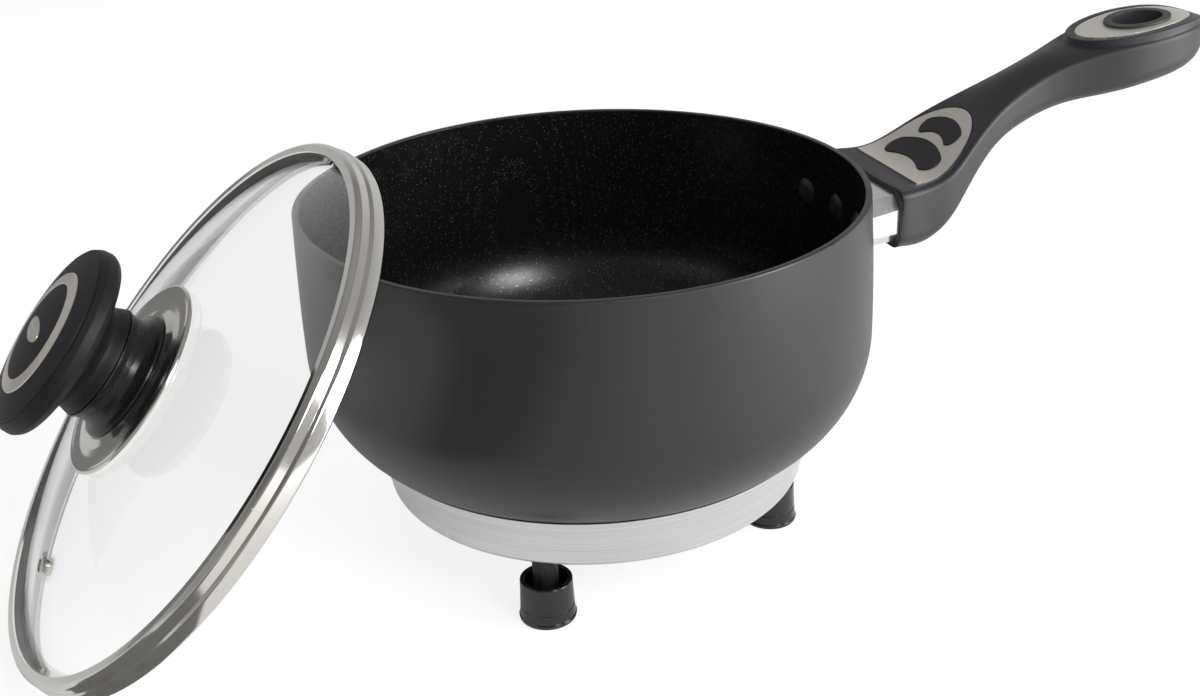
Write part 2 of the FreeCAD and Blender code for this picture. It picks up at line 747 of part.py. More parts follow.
# Skirt gasket: a silicone ring under the pot's floor that fills the corner
gasket_bottom = base_height - gasket_depth
gasket_room = skirt_solid(skirt_wall + gasket_squeeze_gap, skirt_bottom_height)
gasket_block = Part.makeCylinder(skirt_top_radius, gasket_depth + skirt_overlap - joint_gap, vec(0, 0, gasket_bottom))
gasket_block = gasket_block.cut(Part.makeCylinder(skirt_top_radius - skirt_wall - gasket_width,
                                                  2 * skirt_depth, vec(0, 0, base_height - skirt_depth)))
skirt_gasket = gasket_block.common(gasket_room).cut(pot_envelope)
skirt_gasket = max(skirt_gasket.Solids, key=lambda s: s.Volume)

# Heat spreader, sheathed element and what controls them
spreader_bottom = base_height - spreader_thickness
heat_spreader = Part.makeCylinder(spreader_radius, spreader_thickness, vec(0, 0, spreader_bottom))
heat_spreader = heat_spreader.cut(Part.makeCylinder(stud_radius + stud_clearance, spreader_thickness + 2,
                                                    vec(0, 0, spreader_bottom - 1)))
heat_spreader = round_corners(heat_spreader, 1.0,
                              lambda r, z: abs(z - spreader_bottom) < 0.01 and r > 50)
element_height = spreader_bottom - element_tube_radius - element_gap
element_start = inlet_azimuth + element_open_angle / 2
element_section = Part.Wire([Part.Circle(vec(element_radius, 0, element_height), vec(0, 1, 0),
                                         element_tube_radius).toShape()])
heating_element = Part.Face(element_section).revolve(ORIGIN, Z, 360 - element_open_angle)
heating_element.rotate(ORIGIN, Z, element_start)


def inward_pin(azimuth):
    """A cold pin that leaves one end of the element towards the middle."""
    direction = vec(-cos(radians(azimuth)), -sin(radians(azimuth)), 0)
    start = direction * -(element_radius - element_tube_radius - element_gap) + vec(0, 0, element_height)
    return Part.makeCylinder(pin_radius, pin_length, start, direction)


pin_azimuths = (element_start + degrees(pin_radius / element_radius) * 2,
                element_start - element_open_angle - degrees(pin_radius / element_radius) * 2)
element_terminals = Part.makeCompound([inward_pin(a) for a in pin_azimuths])
pin_end_distance = element_radius - element_tube_radius - element_gap - pin_length


def polar(distance, azimuth, height):
    return vec(distance * cos(radians(azimuth)), distance * sin(radians(azimuth)), height)


thermostat_place = polar(pin_end_distance - thermostat_radius - element_gap, pin_azimuths[0],
                         spreader_bottom - thermostat_height)
thermostat = Part.makeCylinder(thermostat_radius, thermostat_height, thermostat_place)
thermostat = thermostat.fuse(Part.makeCylinder(thermostat_radius * 0.7, 1.2, thermostat_place - Z * 1.2))

wire_half = wire_spacing / 2
fuse_near = pin_end_distance * sin(radians(pin_azimuths[1])) - fuse_length / 2
fuse_body = Part.makeCylinder(fuse_radius, fuse_length, vec(wire_half, fuse_near, element_height), vec(0, 1, 0))
lead_start = vec(wire_half, fuse_near - 1.5, element_height)
lead_stub = Part.makeCylinder(fuse_lead_radius, 2.0, lead_start, vec(0, 1, 0))
lead_end = polar(pin_end_distance - fuse_lead_gap, pin_azimuths[1], element_height)
lead_run = lead_end - lead_start
fuse_lead = Part.makeCylinder(fuse_lead_radius, lead_run.Length, lead_start, lead_run)
thermal_fuse = fuse_body.fuse([lead_stub, fuse_lead, Part.makeSphere(fuse_lead_radius, lead_start)])

cover_top = flange_top + cover_thickness
shield_height = cover_top + shield_above_cover
heat_shield = Part.makeCylinder(shield_radius, shield_thickness, vec(0, 0, shield_height))
heat_shield = heat_shield.cut(Part.makeCylinder(stud_radius + stud_clearance, 4, vec(0, 0, shield_height - 2)))

# Centre stud with its spacers, which clamp the shield and the bottom cover
stud_end_height = flange_top - stud_below_cover
centre_stud = Part.makeCylinder(stud_radius, base_height - stud_end_height, vec(0, 0, stud_end_height))


def stud_sleeve(bottom, top, radius):
    sleeve = Part.makeCylinder(radius, top - bottom, vec(0, 0, bottom))
    return sleeve.cut(Part.makeCylinder(stud_radius + stud_clearance / 2, top - bottom + 2,
                                        vec(0, 0, bottom - 1)))


stud_spacer = stud_sleeve(shield_height + shield_thickness, spreader_bottom, spacer_radius)
cover_spacer = stud_sleeve(cover_top, shield_height, spacer_radius)
centre_washer = stud_sleeve(flange_top - washer_thickness, flange_top, washer_radius)
nut_bottom = flange_top - washer_thickness - centre_nut_height
centre_nut = hexagon(nut_across_flats, centre_nut_height, nut_bottom)
centre_nut = centre_nut.cut(Part.makeCylinder(stud_radius, 20, vec(0, 0, nut_bottom - 5)))

# Bottom cover: a pressed steel disc with one stiffening bead, on the skirt's flange


def leg_azimuths():
    """Two pairs of legs, mirrored across the base."""
    return [leg_pair_turn - front_leg_half_angle, leg_pair_turn + front_leg_half_angle,
            leg_pair_turn + 180 - rear_leg_half_angle, leg_pair_turn + 180 + rear_leg_half_angle]


bead_half = cover_bead_height * 2.5
cover_profile = [(0, flange_top), (cover_bead_radius - bead_half - 1, flange_top),
                 (cover_bead_radius - bead_half, flange_top - cover_bead_height),
                 (cover_bead_radius + bead_half, flange_top - cover_bead_height),
                 (cover_bead_radius + bead_half + 1, flange_top),
                 (cover_radius, flange_top), (cover_radius, cover_top),
                 (cover_bead_radius + bead_half - 0.5, cover_top),
                 (cover_bead_radius + bead_half - 1.5, cover_top - cover_bead_height),
                 (cover_bead_radius - bead_half + 1.5, cover_top - cover_bead_height),
                 (cover_bead_radius - bead_half + 0.5, cover_top), (0, cover_top)]
base_cover = turned_polygon(cover_profile)
cover_holes = [Part.makeCylinder(post_stud_radius + post_stud_clearance, 10,
                                 polar(leg_circle_radius, a, flange_top - 4)) for a in leg_azimuths()]
cover_holes.append(Part.makeCylinder(stud_radius + stud_clearance, 10, vec(0, 0, flange_top - 4)))
base_cover = base_cover.cut(Part.makeCompound(cover_holes))

# Power inlet: a moulded socket with two pins, let into the back of the skirt
inlet_bottom_height = cover_top + inlet_floor_gap
inlet_block = rounded_box(inlet_width, inlet_outer_distance - inlet_inner_distance, inlet_height, inlet_corner)
inlet_block.translate(vec(0, inlet_inner_distance, inlet_bottom_height))
window_block = rounded_box(inlet_width + 2 * trim_clearance, 40, inlet_height + 2 * trim_clearance,
                           inlet_corner + trim_clearance)
window_block.translate(vec(0, inlet_inner_distance, inlet_bottom_height - trim_clearance))
recess_bottom = inlet_bottom_height + (inlet_height - recess_height) / 2
recess = rounded_box(recess_width, recess_depth + 5, recess_height, recess_corner)
recess.translate(vec(0, inlet_outer_distance - recess_depth, recess_bottom))
inlet_axis_height = inlet_bottom_height + inlet_height / 2
power_inlet = inlet_block.cut(recess)
pin_sites = (-inlet_pin_spacing / 2, inlet_pin_spacing / 2)


def inlet_pin(x):
    """A pin through the socket's back wall, with a tab for its wire inside."""
    front = inlet_outer_distance - recess_depth + inlet_pin_length
    back = inlet_inner_distance - inlet_tab_length
    return Part.makeCylinder(inlet_pin_radius, front - back, vec(x, back, inlet_axis_height), vec(0, 1, 0))


inlet_pins = Part.makeCompound([inlet_pin(x) for x in pin_sites])
power_inlet = power_inlet.cut(Part.makeCompound([inlet_pin(x) for x in pin_sites]))
turn_to_inlet = inlet_azimuth - 90.0
for piece in (power_inlet, inlet_pins, window_block):
    piece.rotate(ORIGIN, Z, turn_to_inlet)
base_skirt = base_skirt.cut(window_block)
skirt_gasket = skirt_gasket.cut(window_block)

# Two wires inside: inlet to thermostat, inlet to fuse
wire_drop = inlet_axis_height - element_height


def wire(x, pin_x, end):
    """A wire from a pin's tab, eased across to its own line, then straight in."""
    tab = vec(pin_x, inlet_inner_distance - inlet_tab_length - element_gap, inlet_axis_height)
    knee = vec(x, tab.y - wire_step_in, element_height)
    stop = vec(x, end, element_height)
    run = [Part.makeCylinder(wire_radius, (b - a).Length, a, b - a) for a, b in ((tab, knee), (knee, stop))]
    return run[0].fuse([run[1], Part.makeSphere(wire_radius, knee)])


wire_aside = max(abs(thermostat_place.x + wire_half) - wire_radius, 0.0)
thermostat_edge = thermostat_place.y + sqrt(thermostat_radius ** 2 - wire_aside ** 2)
supply_wires = Part.makeCompound([wire(-wire_half, pin_sites[0], thermostat_edge + element_gap),
                                  wire(wire_half, pin_sites[1], fuse_near + fuse_length + element_gap)])

# Legs: hexagonal posts through the cover, each with a nut inside and a cup-shaped foot
post_top = flange_top
stud_top = cover_top + leg_nut_height + 1.0
posts = []
nuts = []
feet = []
for azimuth in leg_azimuths():
    place = polar(leg_circle_radius, azimuth, 0)
    post = hexagon(post_across_flats, post_top - foot_socket_floor, foot_socket_floor, azimuth)
    stud = Part.makeCylinder(post_stud_radius, stud_top - post_top + 1, vec(0, 0, post_top - 1))
    posts.append(post.fuse(stud).removeSplitter().translated(place))
    nut = hexagon(nut_across_flats, leg_nut_height, cover_top, azimuth)
    nuts.append(nut.cut(Part.makeCylinder(post_stud_radius, 20, vec(0, 0, cover_top - 5))).translated(place))
    cup = turned_polygon([(0, 0), (foot_lip_radius - 0.6, 0), (foot_lip_radius, 0.6),
                          (foot_lip_radius, foot_lip_height - 0.4), (foot_bottom_radius, foot_lip_height),
                          (foot_top_radius, foot_height - 0.8), (foot_top_radius - 0.8, foot_height),
                          (foot_bowl_radius + 0.3, foot_height), (foot_bowl_radius, foot_height - 0.5),
                          (foot_bowl_bottom_radius, foot_boss_height), (0, foot_boss_height)])
    socket = hexagon(post_across_flats + 2 * foot_socket_clearance, foot_height, foot_socket_floor, azimuth)
    feet.append(cup.cut(socket).translated(place))
leg_posts = Part.makeCompound(posts)
leg_nuts = Part.makeCompound(nuts)
foot_caps = Part.makeCompound(feet)

# Lid glass: a slice of a sphere with a ground edge and two holes
glass_sphere = (glass_radius ** 2 + glass_edge_drop ** 2) / (2 * glass_edge_drop)


def glass_top(radius):
    """Height of the glass's outer face at a distance from the lid's axis."""
    return glass_apex - glass_sphere + sqrt(glass_sphere ** 2 - radius ** 2)


inner_sphere = glass_sphere - glass_thickness


def glass_under(radius):
    return glass_apex - glass_sphere + sqrt(inner_sphere ** 2 - radius ** 2)


half_glass = glass_radius / 2
lid_glass = turned([arc((0, glass_apex), (half_glass, glass_top(half_glass)), (glass_radius, glass_top(glass_radius))),
                    line((glass_radius, glass_top(glass_radius)), (glass_radius, glass_under(glass_radius))),
                    arc((glass_radius, glass_under(glass_radius)), (half_glass, glass_under(half_glass)),
                        (0, glass_apex - glass_thickness)),
                    line((0, glass_apex - glass_thickness), (0, glass_apex))])
vent_angle = radians(vent_clock)
vent_place = vec(vent_distance * sin(vent_angle), vent_distance * cos(vent_angle), glass_top(vent_distance))
vent_normal = vec(vent_place.x, vent_place.y, vent_place.z - glass_apex + glass_sphere)
vent_normal.normalize()
vent_bore = Part.makeCylinder(vent_radius + vent_wall + vent_clearance, 6 * glass_thickness,
                              vent_place - vent_normal * 3 * glass_thickness, vent_normal)
lid_glass = lid_glass.cut(vent_bore).cut(Part.makeCylinder(glass_bore_radius, 40, vec(0, 0, 0)))

# Lid band: one strip of steel rolled round the edge, with a step outside and a locating lip
half_sheet = band_sheet / 2
band_line = ((band_inner_radius, -band_lip_depth),
             (band_inner_radius, half_sheet),
             (lid_radius - half_sheet, half_sheet),
             (lid_radius - half_sheet, lid_step_height - 0.4),
             (lid_radius - half_sheet - lid_step, lid_step_height + 0.4),
             (lid_radius - half_sheet - lid_step, lid_height - 1.4),
             (lid_radius - half_sheet - lid_step - 1.0, lid_height - half_sheet),
             (seal_inner_radius, lid_height - half_sheet))
lid_rim_band = turned_polygon(ribbon(band_line, band_sheet))

# Lid seal: silicone that fills the band and grips the glass
seal_outer = lid_radius - band_sheet - lid_step - seal_gap
seal_block = turned_polygon([(seal_inner_radius, band_sheet), (seal_outer, band_sheet),
                             (seal_outer, lid_height - band_sheet - 1.0),
                             (seal_outer - 1.0, lid_height - band_sheet),
                             (seal_inner_radius, lid_height - band_sheet)])
lid_seal = seal_block.cut(lid_glass).cut(lid_rim_band)
lid_seal = max(lid_seal.Solids, key=lambda s: s.Volume)

# Vent eyelet: a rolled steel eyelet through the glass
eyelet_tube = Part.makeCylinder(vent_radius + vent_wall, glass_thickness + 2.4,
                                vent_place - vent_normal * (glass_thickness + 1.2), vent_normal)
eyelet_top = Part.makeCone(vent_flange_radius, vent_flange_radius * 0.75, vent_flange_height,
                           vent_place + vent_normal * 0.25, vent_normal)
eyelet_low = Part.makeCone(vent_flange_radius * 0.75, vent_flange_radius * 0.6, vent_flange_height,
                           vent_place - vent_normal * (glass_thickness + 0.2), vent_normal * -1)
vent_eyelet = eyelet_tube.fuse([eyelet_top, eyelet_low]).cut(
    Part.makeCylinder(vent_radius, 30, vent_place - vent_normal * 15, vent_normal))
vent_eyelet = vent_eyelet.cut(lid_glass)
vent_eyelet = max(vent_eyelet.Solids, key=lambda s: s.Volume)

# Knob dish: a polished steel plate that spreads the knob's load on the glass
dish_outline = [line((dish_bore_radius, glass_apex - 1.5), (dish_radius - 1.0, dish_edge_height - dish_edge_thickness - 1.4)),
                line((dish_radius - 1.0, dish_edge_height - dish_edge_thickness - 1.4),
                     (dish_radius, dish_edge_height - dish_edge_thickness + 0.2)),
                arc((dish_radius, dish_edge_height - dish_edge_thickness + 0.2),
                    (dish_radius - 0.2, dish_edge_height - 0.25), (dish_radius - 1.0, dish_edge_height)),
                arc((dish_radius - 1.0, dish_edge_height),
                    (dish_valley_radius, dish_edge_height - dish_valley_drop * 0.6),
                    (collar_foot_radius, collar_foot_height)),
                line((collar_foot_radius, collar_foot_height), (dish_bore_radius, collar_foot_height)),
                line((dish_bore_radius, collar_foot_height), (dish_bore_radius, glass_apex - 1.5))]
glass_ball = Part.makeSphere(glass_sphere + dish_seat_gap, vec(0, 0, glass_apex - glass_sphere))
knob_dish = turned(dish_outline).cut(glass_ball)
knob_dish = max(knob_dish.Solids, key=lambda s: s.Volume)

# Knob collar: the waisted black foot under the grip
collar_edges = [line((knob_bore_radius, collar_foot_height), (collar_foot_radius, collar_foot_height)),
                line((collar_foot_radius, collar_foot_height),
                     (collar_foot_radius, collar_foot_height + collar_foot_edge)),
                arc((collar_foot_radius, collar_foot_height + collar_foot_edge),
                    (collar_waist_radius, collar_waist_height),
                    (collar_rim_radius - 0.8, collar_rim_height - collar_rim_edge)),
                line((collar_rim_radius - 0.8, collar_rim_height - collar_rim_edge),
                     (collar_rim_radius, collar_rim_height - collar_rim_edge + 0.3)),
                line((collar_rim_radius, collar_rim_height - collar_rim_edge + 0.3),
                     (collar_rim_radius, collar_rim_height)),
                line((collar_rim_radius, collar_rim_height), (knob_bore_radius, collar_rim_height)),
                line((knob_bore_radius, collar_rim_height), (knob_bore_radius, collar_foot_height))]
knob_collar = turned(collar_edges)

# Knob grip: a lens-shaped cap on a flared neck, with a groove and a recess for its inlay
cap_sphere = (cap_groove_radius ** 2 + (cap_apex - cap_groove_height) ** 2) / (2 * (cap_apex - cap_groove_height))


def cap_top(radius):
    return cap_apex - cap_sphere + sqrt(cap_sphere ** 2 - radius ** 2)


groove_in = cap_groove_radius - cap_groove_depth
screw_blind = knob_screw_end_height + knob_screw_end_room
grip_edges = [line((knob_bore_radius, collar_rim_height), (neck_bottom_radius, collar_rim_height)),
              arc((neck_bottom_radius, collar_rim_height), (neck_radius + 0.6, collar_rim_height + 2.0),
                  (neck_radius, neck_height)),
              arc((neck_radius, neck_height), (neck_radius + 3.9, neck_height + 3.4),
                  (cap_under_radius, cap_under_height)),
              arc((cap_under_radius, cap_under_height), (cap_radius - 0.9, cap_under_height + 1.5),
                  (cap_radius, cap_wide_height)),
              arc((cap_radius, cap_wide_height), (cap_radius - 0.35, cap_groove_height - 2.3),
                  (cap_groove_radius + 0.25, cap_groove_height - 0.35)),
              line((cap_groove_radius + 0.25, cap_groove_height - 0.35), (groove_in, cap_groove_height)),
              line((groove_in, cap_groove_height), (cap_groove_radius - 0.5, cap_top(cap_groove_radius - 0.5))),
              arc((cap_groove_radius - 0.5, cap_top(cap_groove_radius - 0.5)),
                  (cap_groove_radius / 2, cap_top(cap_groove_radius / 2)), (0, cap_apex)),
              line((0, cap_apex), (0, screw_blind)),
              line((0, screw_blind), (knob_bore_radius, screw_blind)),
              line((knob_bore_radius, screw_blind), (knob_bore_radius, collar_rim_height))]
knob_grip = turned(grip_edges)


def cap_layer(below, above):
    """A layer that follows the domed top of the grip."""
    outer = Part.makeSphere(cap_sphere + above, vec(0, 0, cap_apex - cap_sphere))
    inner = Part.makeSphere(cap_sphere - below, vec(0, 0, cap_apex - cap_sphere))
    slab = Part.makeCylinder(cap_groove_radius - 1.5, 30, vec(0, 0, cap_groove_height - 10))
    return slab.common(outer).cut(inner)


def inlay_outline(offset):
    """A plain ring with a straight rounded bar across its middle."""
    ring = Part.makeCylinder(inlay_outer_radius + offset, 40, vec(0, 0, cap_groove_height - 20))
    ring = ring.cut(Part.makeCylinder(inlay_outer_radius - inlay_band - offset, 42,
                                      vec(0, 0, cap_groove_height - 21)))
    return ring


knob_inlay = inlay_outline(0.0).common(cap_layer(inlay_depth - trim_seat, inlay_proud))
knob_grip = knob_grip.cut(inlay_outline(inlay_clearance).common(cap_layer(inlay_depth, 6.0)))
knob_inlay_bar_wire = oval(0.0, inlay_bar_half_length, inlay_bar_half_width)
knob_inlay_bar = upright(knob_inlay_bar_wire).common(
    cap_layer(inlay_depth - trim_seat, inlay_proud))
bar_room = upright(oval(0.0, inlay_bar_half_length + inlay_clearance,
                        inlay_bar_half_width + inlay_clearance)).common(cap_layer(inlay_depth, 6.0))
knob_grip = knob_grip.cut(bar_room)
knob_grip = max(knob_grip.Solids, key=lambda s: s.Volume)

# Knob fastening, through the glass from inside the lid
under = glass_apex - glass_thickness
seal_top = glass_under(knob_seal_radius)
knob_seal = turned_polygon([(knob_screw_radius + knob_screw_clearance, seal_top - knob_seal_thickness),
                            (knob_seal_radius, seal_top - knob_seal_thickness),
                            (knob_seal_radius, seal_top), (knob_screw_radius + knob_screw_clearance, seal_top)])
washer_top = seal_top - knob_seal_thickness
knob_washer = turned_polygon([(knob_screw_radius + knob_screw_clearance, washer_top - knob_washer_thickness),
                              (knob_washer_radius, washer_top - knob_washer_thickness),
                              (knob_washer_radius, washer_top), (knob_screw_radius + knob_screw_clearance, washer_top)])
head_top = washer_top - knob_washer_thickness
head_low = head_top - knob_screw_head_height
knob_screw = turned([arc((0, head_low), (knob_screw_head_radius * 0.6, head_low + 0.4),
                         (knob_screw_head_radius, head_low + 1.4)),
                     line((knob_screw_head_radius, head_low + 1.4), (knob_screw_head_radius, head_top)),
                     line((knob_screw_head_radius, head_top), (knob_screw_radius, head_top)),
                     line((knob_screw_radius, head_top), (knob_screw_radius, knob_screw_end_height)),
                     line((knob_screw_radius, knob_screw_end_height), (0, knob_screw_end_height)),
                     line((0, knob_screw_end_height), (0, head_low))])

# The lid is stood on the table and let down against the rim
lid_pieces = {
    "lid_glass": lid_glass,
    "lid_rim_band": lid_rim_band,
    "lid_seal": lid_seal,
    "vent_eyelet": vent_eyelet,
    "knob_dish": knob_dish,
    "knob_collar": knob_collar,
    "knob_grip": knob_grip,
    "knob_inlay_ring": knob_inlay,
    "knob_inlay_centre": knob_inlay_bar,
    "knob_seal": knob_seal,
    "knob_washer": knob_washer,
    "knob_screw": knob_screw,
}
lid_facing = lid_azimuth + lid_turn
facing = vec(cos(radians(lid_facing)), sin(radians(lid_facing)), 0)
slope = radians(lid_slope)
lid_normal = facing * cos(slope) + Z * sin(slope)
lid_up = Z * cos(slope) - facing * sin(slope)
lid_across = lid_up.cross(lid_normal)
lid_centre_height = lid_radius * cos(slope)


def lid_placement(distance):
    """Where the lid's own frame goes when its centre is this far from the pot's axis."""
    centre = polar(distance, lid_azimuth, lid_centre_height)
    turn = FreeCAD.Matrix(lid_across.x, lid_up.x, lid_normal.x, centre.x,
                          lid_across.y, lid_up.y, lid_normal.y, centre.y,
                          lid_across.z, lid_up.z, lid_normal.z, centre.z,
                          0, 0, 0, 1)
    return FreeCAD.Placement(turn)


rim_edges = Part.makeCompound([Part.makeCircle(r, vec(0, 0, rim_height))
                               for r in (mouth_radius, wall_point(rim_height, wall))]
                              + [Part.makeCircle(wall_point(rim_height - d), vec(0, 0, rim_height - d))
                                 for d in (6, 14, 24)])


def lean_distance():
    """Step the lid in from well clear until it is the rest gap away from the rim."""
    distance = mouth_radius + lid_radius
    for _ in range(40):
        gap = min(rim_edges.distToShape(piece.transformed(lid_placement(distance).toMatrix()))[0]
                  for piece in (lid_rim_band, lid_glass))
        if gap - lid_rest_gap < 0.01:
            break
        distance -= gap - lid_rest_gap
    return distance


lid_distance = lean_distance()
lid_matrix = lid_placement(lid_distance).toMatrix()
print("lid distance", round(lid_distance, 3))
print("lid normal", [round(q, 5) for q in lid_normal])

os.makedirs("parts", exist_ok=True)
pot_pieces = {
    "pot_body": pot_body,
    "handle_rivets": handle_rivets,
    "handle_bracket": handle_bracket,
    "handle_tang": handle_tang,
    "tang_screw": tang_screw,
    "handle_body": handle_body,
    "handle_shield_plate": handle_shield_plate,
    "front_grip_pad": front_grip_pad,
    "rear_grip_pad": rear_grip_pad,
    "hang_hole_plate": hang_hole_plate,
    "hang_hole_grommet": hang_hole_grommet,
    "base_skirt": base_skirt,
    "skirt_gasket": skirt_gasket,
    "heat_spreader": heat_spreader,
    "heating_element": heating_element,
    "element_terminals": element_terminals,
    "thermostat": thermostat,
    "thermal_fuse": thermal_fuse,
    "heat_shield": heat_shield,
    "centre_stud": centre_stud,
    "stud_spacer": stud_spacer,
    "cover_spacer": cover_spacer,
    "centre_washer": centre_washer,
    "centre_nut": centre_nut,
    "base_cover": base_cover,
    "power_inlet": power_inlet,
    "inlet_pins": inlet_pins,
    "supply_wires": supply_wires,
    "leg_posts": leg_posts,
    "leg_nuts": leg_nuts,
    "foot_caps": foot_caps,
}
for name, shape in pot_pieces.items():
    save(shape, name)
for name, shape in lid_pieces.items():
    save(shape.transformed(lid_matrix), name)
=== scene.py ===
from math import cos, hypot, pi, radians, sin, sqrt, tan

import bpy
from mathutils import Matrix, Vector


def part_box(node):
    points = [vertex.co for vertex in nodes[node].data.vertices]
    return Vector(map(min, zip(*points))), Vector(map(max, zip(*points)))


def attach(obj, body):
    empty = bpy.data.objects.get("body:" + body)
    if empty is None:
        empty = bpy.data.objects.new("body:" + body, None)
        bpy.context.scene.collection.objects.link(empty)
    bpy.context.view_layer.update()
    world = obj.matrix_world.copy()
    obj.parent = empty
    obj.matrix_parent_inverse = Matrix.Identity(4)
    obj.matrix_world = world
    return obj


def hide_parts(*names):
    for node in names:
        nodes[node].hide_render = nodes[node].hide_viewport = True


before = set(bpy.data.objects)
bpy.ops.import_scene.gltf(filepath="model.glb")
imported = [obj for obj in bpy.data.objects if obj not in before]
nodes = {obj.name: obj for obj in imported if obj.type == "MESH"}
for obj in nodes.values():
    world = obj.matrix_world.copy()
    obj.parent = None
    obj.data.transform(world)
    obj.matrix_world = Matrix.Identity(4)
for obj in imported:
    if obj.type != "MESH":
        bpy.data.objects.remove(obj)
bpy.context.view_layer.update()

# Camera. It stands a good half metre off, with the handle away to the right, and looks down a
# little over the rim, as for a catalogue picture of a pan. The frame is tilted slightly.
view_azimuth = -17.0
view_elevation = 25.3
view_tilt = -2.7
aim_height = 0.0709
view_distance = 0.550
camera_turn = Matrix.Rotation(radians(view_azimuth), 4, "Z")
camera_turn = camera_turn @ Matrix.Translation((0, 0, aim_height))
camera_turn = camera_turn @ Matrix.Rotation(radians(90 - view_elevation), 4, "X")
camera_turn = camera_turn @ Matrix.Translation((0, 0, view_distance))
camera_turn = camera_turn @ Matrix.Rotation(radians(view_tilt), 4, "Z")
camera = bpy.data.objects.new("camera", bpy.data.cameras.new("camera"))
bpy.context.scene.collection.objects.link(camera)
camera.matrix_world = camera_turn
camera.data.sensor_width = 36.0
camera.data.lens = 44.655
camera.data.shift_x = 0.0078
camera.data.shift_y = 0.0034
camera.data.clip_start = 0.01
bpy.context.scene.camera = camera
bpy.context.scene.view_settings.view_transform = "Standard"


# Pot body. One aluminium pressing, hard anodised nearly black and brushed outside as it turned
# on the lathe, sprayed with a speckled non-stick coat inside, and left bare on the rim's edge.
class Tone:
    """One socket of a finish. Sums on tones add the Math nodes that work them out."""

    def __init__(self, finish, socket):
        self.finish = finish
        self.socket = socket

    def sum(self, operation, first, second):
        return self.finish.node("ShaderNodeMath", {"operation": operation},
                                {0: first, 1: second})

    def __add__(self, other):
        return self.sum("ADD", self, other)

    def __radd__(self, other):
        return self.sum("ADD", other, self)

    def __sub__(self, other):
        return self.sum("SUBTRACT", self, other)

    def __rsub__(self, other):
        return self.sum("SUBTRACT", other, self)

    def __mul__(self, other):
        return self.sum("MULTIPLY", self, other)

    def __rmul__(self, other):
        return self.sum("MULTIPLY", other, self)


class Finish:
    """A surface finish: a Principled shader and the nodes that vary it."""

    def __init__(self, name):
        self.material = bpy.data.materials.new(name)
        self.material.use_nodes = True
        self.tree = self.material.node_tree
        self.shader = self.tree.nodes["Principled BSDF"]
        self.place = self.node("ShaderNodeTexCoord", {}, {}, "Object")

    def node(self, kind, settings, inputs, output=0):
        made = self.tree.nodes.new(kind)
        for key, value in settings.items():
            if key == "stops":
                ramp = made.color_ramp.elements
                while len(ramp) < len(value):
                    ramp.new(0.5)
                for stop, (position, colour) in zip(ramp, value):
                    stop.position = position
                    stop.color = colour
            else:
                setattr(made, key, value)
        for key, value in inputs.items():
            self.feed(made.inputs[key], value)
        return Tone(self, made.outputs[output])

    def feed(self, socket, value):
        if isinstance(value, Tone):
            self.tree.links.new(value.socket, socket)
        else:
            socket.default_value = value

    def coat(self, **inputs):
        """Set or link the shader's own sockets."""
        for key, value in inputs.items():
            self.feed(self.shader.inputs[key.replace("_", " ")], value)

    def grain(self, scale, stretch=(1, 1, 1), detail=2.0, rough=0.5):
        """Soft noise from 0 to 1, drawn out along the axes where stretch is small."""
        place = self.node("ShaderNodeMapping", {}, {"Vector": self.place, "Scale": stretch})
        noise = {"Vector": place, "Scale": scale, "Detail": detail, "Roughness": rough}
        return self.node("ShaderNodeTexNoise", {}, noise, "Fac")

    def ramp(self, tone, *stops):
        """Turn a tone into greys or colours, by its value."""
        full = [(p, c if isinstance(c, tuple) else (c, c, c, 1)) for p, c in stops]
        return self.node("ShaderNodeValToRGB", {"stops": full}, {"Fac": tone}, "Color")

    def blend(self, factor, first, second):
        colours = {0: factor, 6: first, 7: second}
        return self.node("ShaderNodeMix", {"data_type": "RGBA"}, colours, 2)

    def relief(self, height, strength, distance):
        bump = {"Strength": strength, "Distance": distance, "Height": height}
        return self.node("ShaderNodeBump", {}, bump)


def arc(centre, radius, start, end, steps):
    """Points on an arc of a half section, angles in degrees from the radius axis upwards."""
    turns = [radians(start + (end - start) * k / steps) for k in range(steps + 1)]
    return [(centre[0] + radius * cos(t), centre[1] + radius * sin(t)) for t in turns]


def eased(corners, steps=5):
    """Points of a half section whose corners, given as radius, height and rounding, are eased."""
    nearly_straight = radians(88)
    longest_share = 0.46
    points = []
    last = len(corners) - 1
    for i, (r, h, ease) in enumerate(corners):
        here = Vector((r, h))
        if not ease or i in (0, last):
            points.append((r, h))
            continue
        a = Vector(corners[i - 1][:2]) - here
        b = Vector(corners[i + 1][:2]) - here
        half = a.angle(b) / 2
        if half > nearly_straight:
            points.append((r, h))
            continue
        run = min(ease / tan(half), longest_share * min(a.length, b.length))
        ease = run * tan(half)
        heart = here + (a.normalized() + b.normalized()).normalized() * (ease / sin(half))
        begin = here + a.normalized() * run - heart
        finish = here + b.normalized() * run - heart
        for k in range(steps + 1):
            share = k / steps
            spoke = (begin * (1 - share) + finish * share).normalized() * ease
            points.append((heart.x + spoke.x, heart.y + spoke.y))
    return points


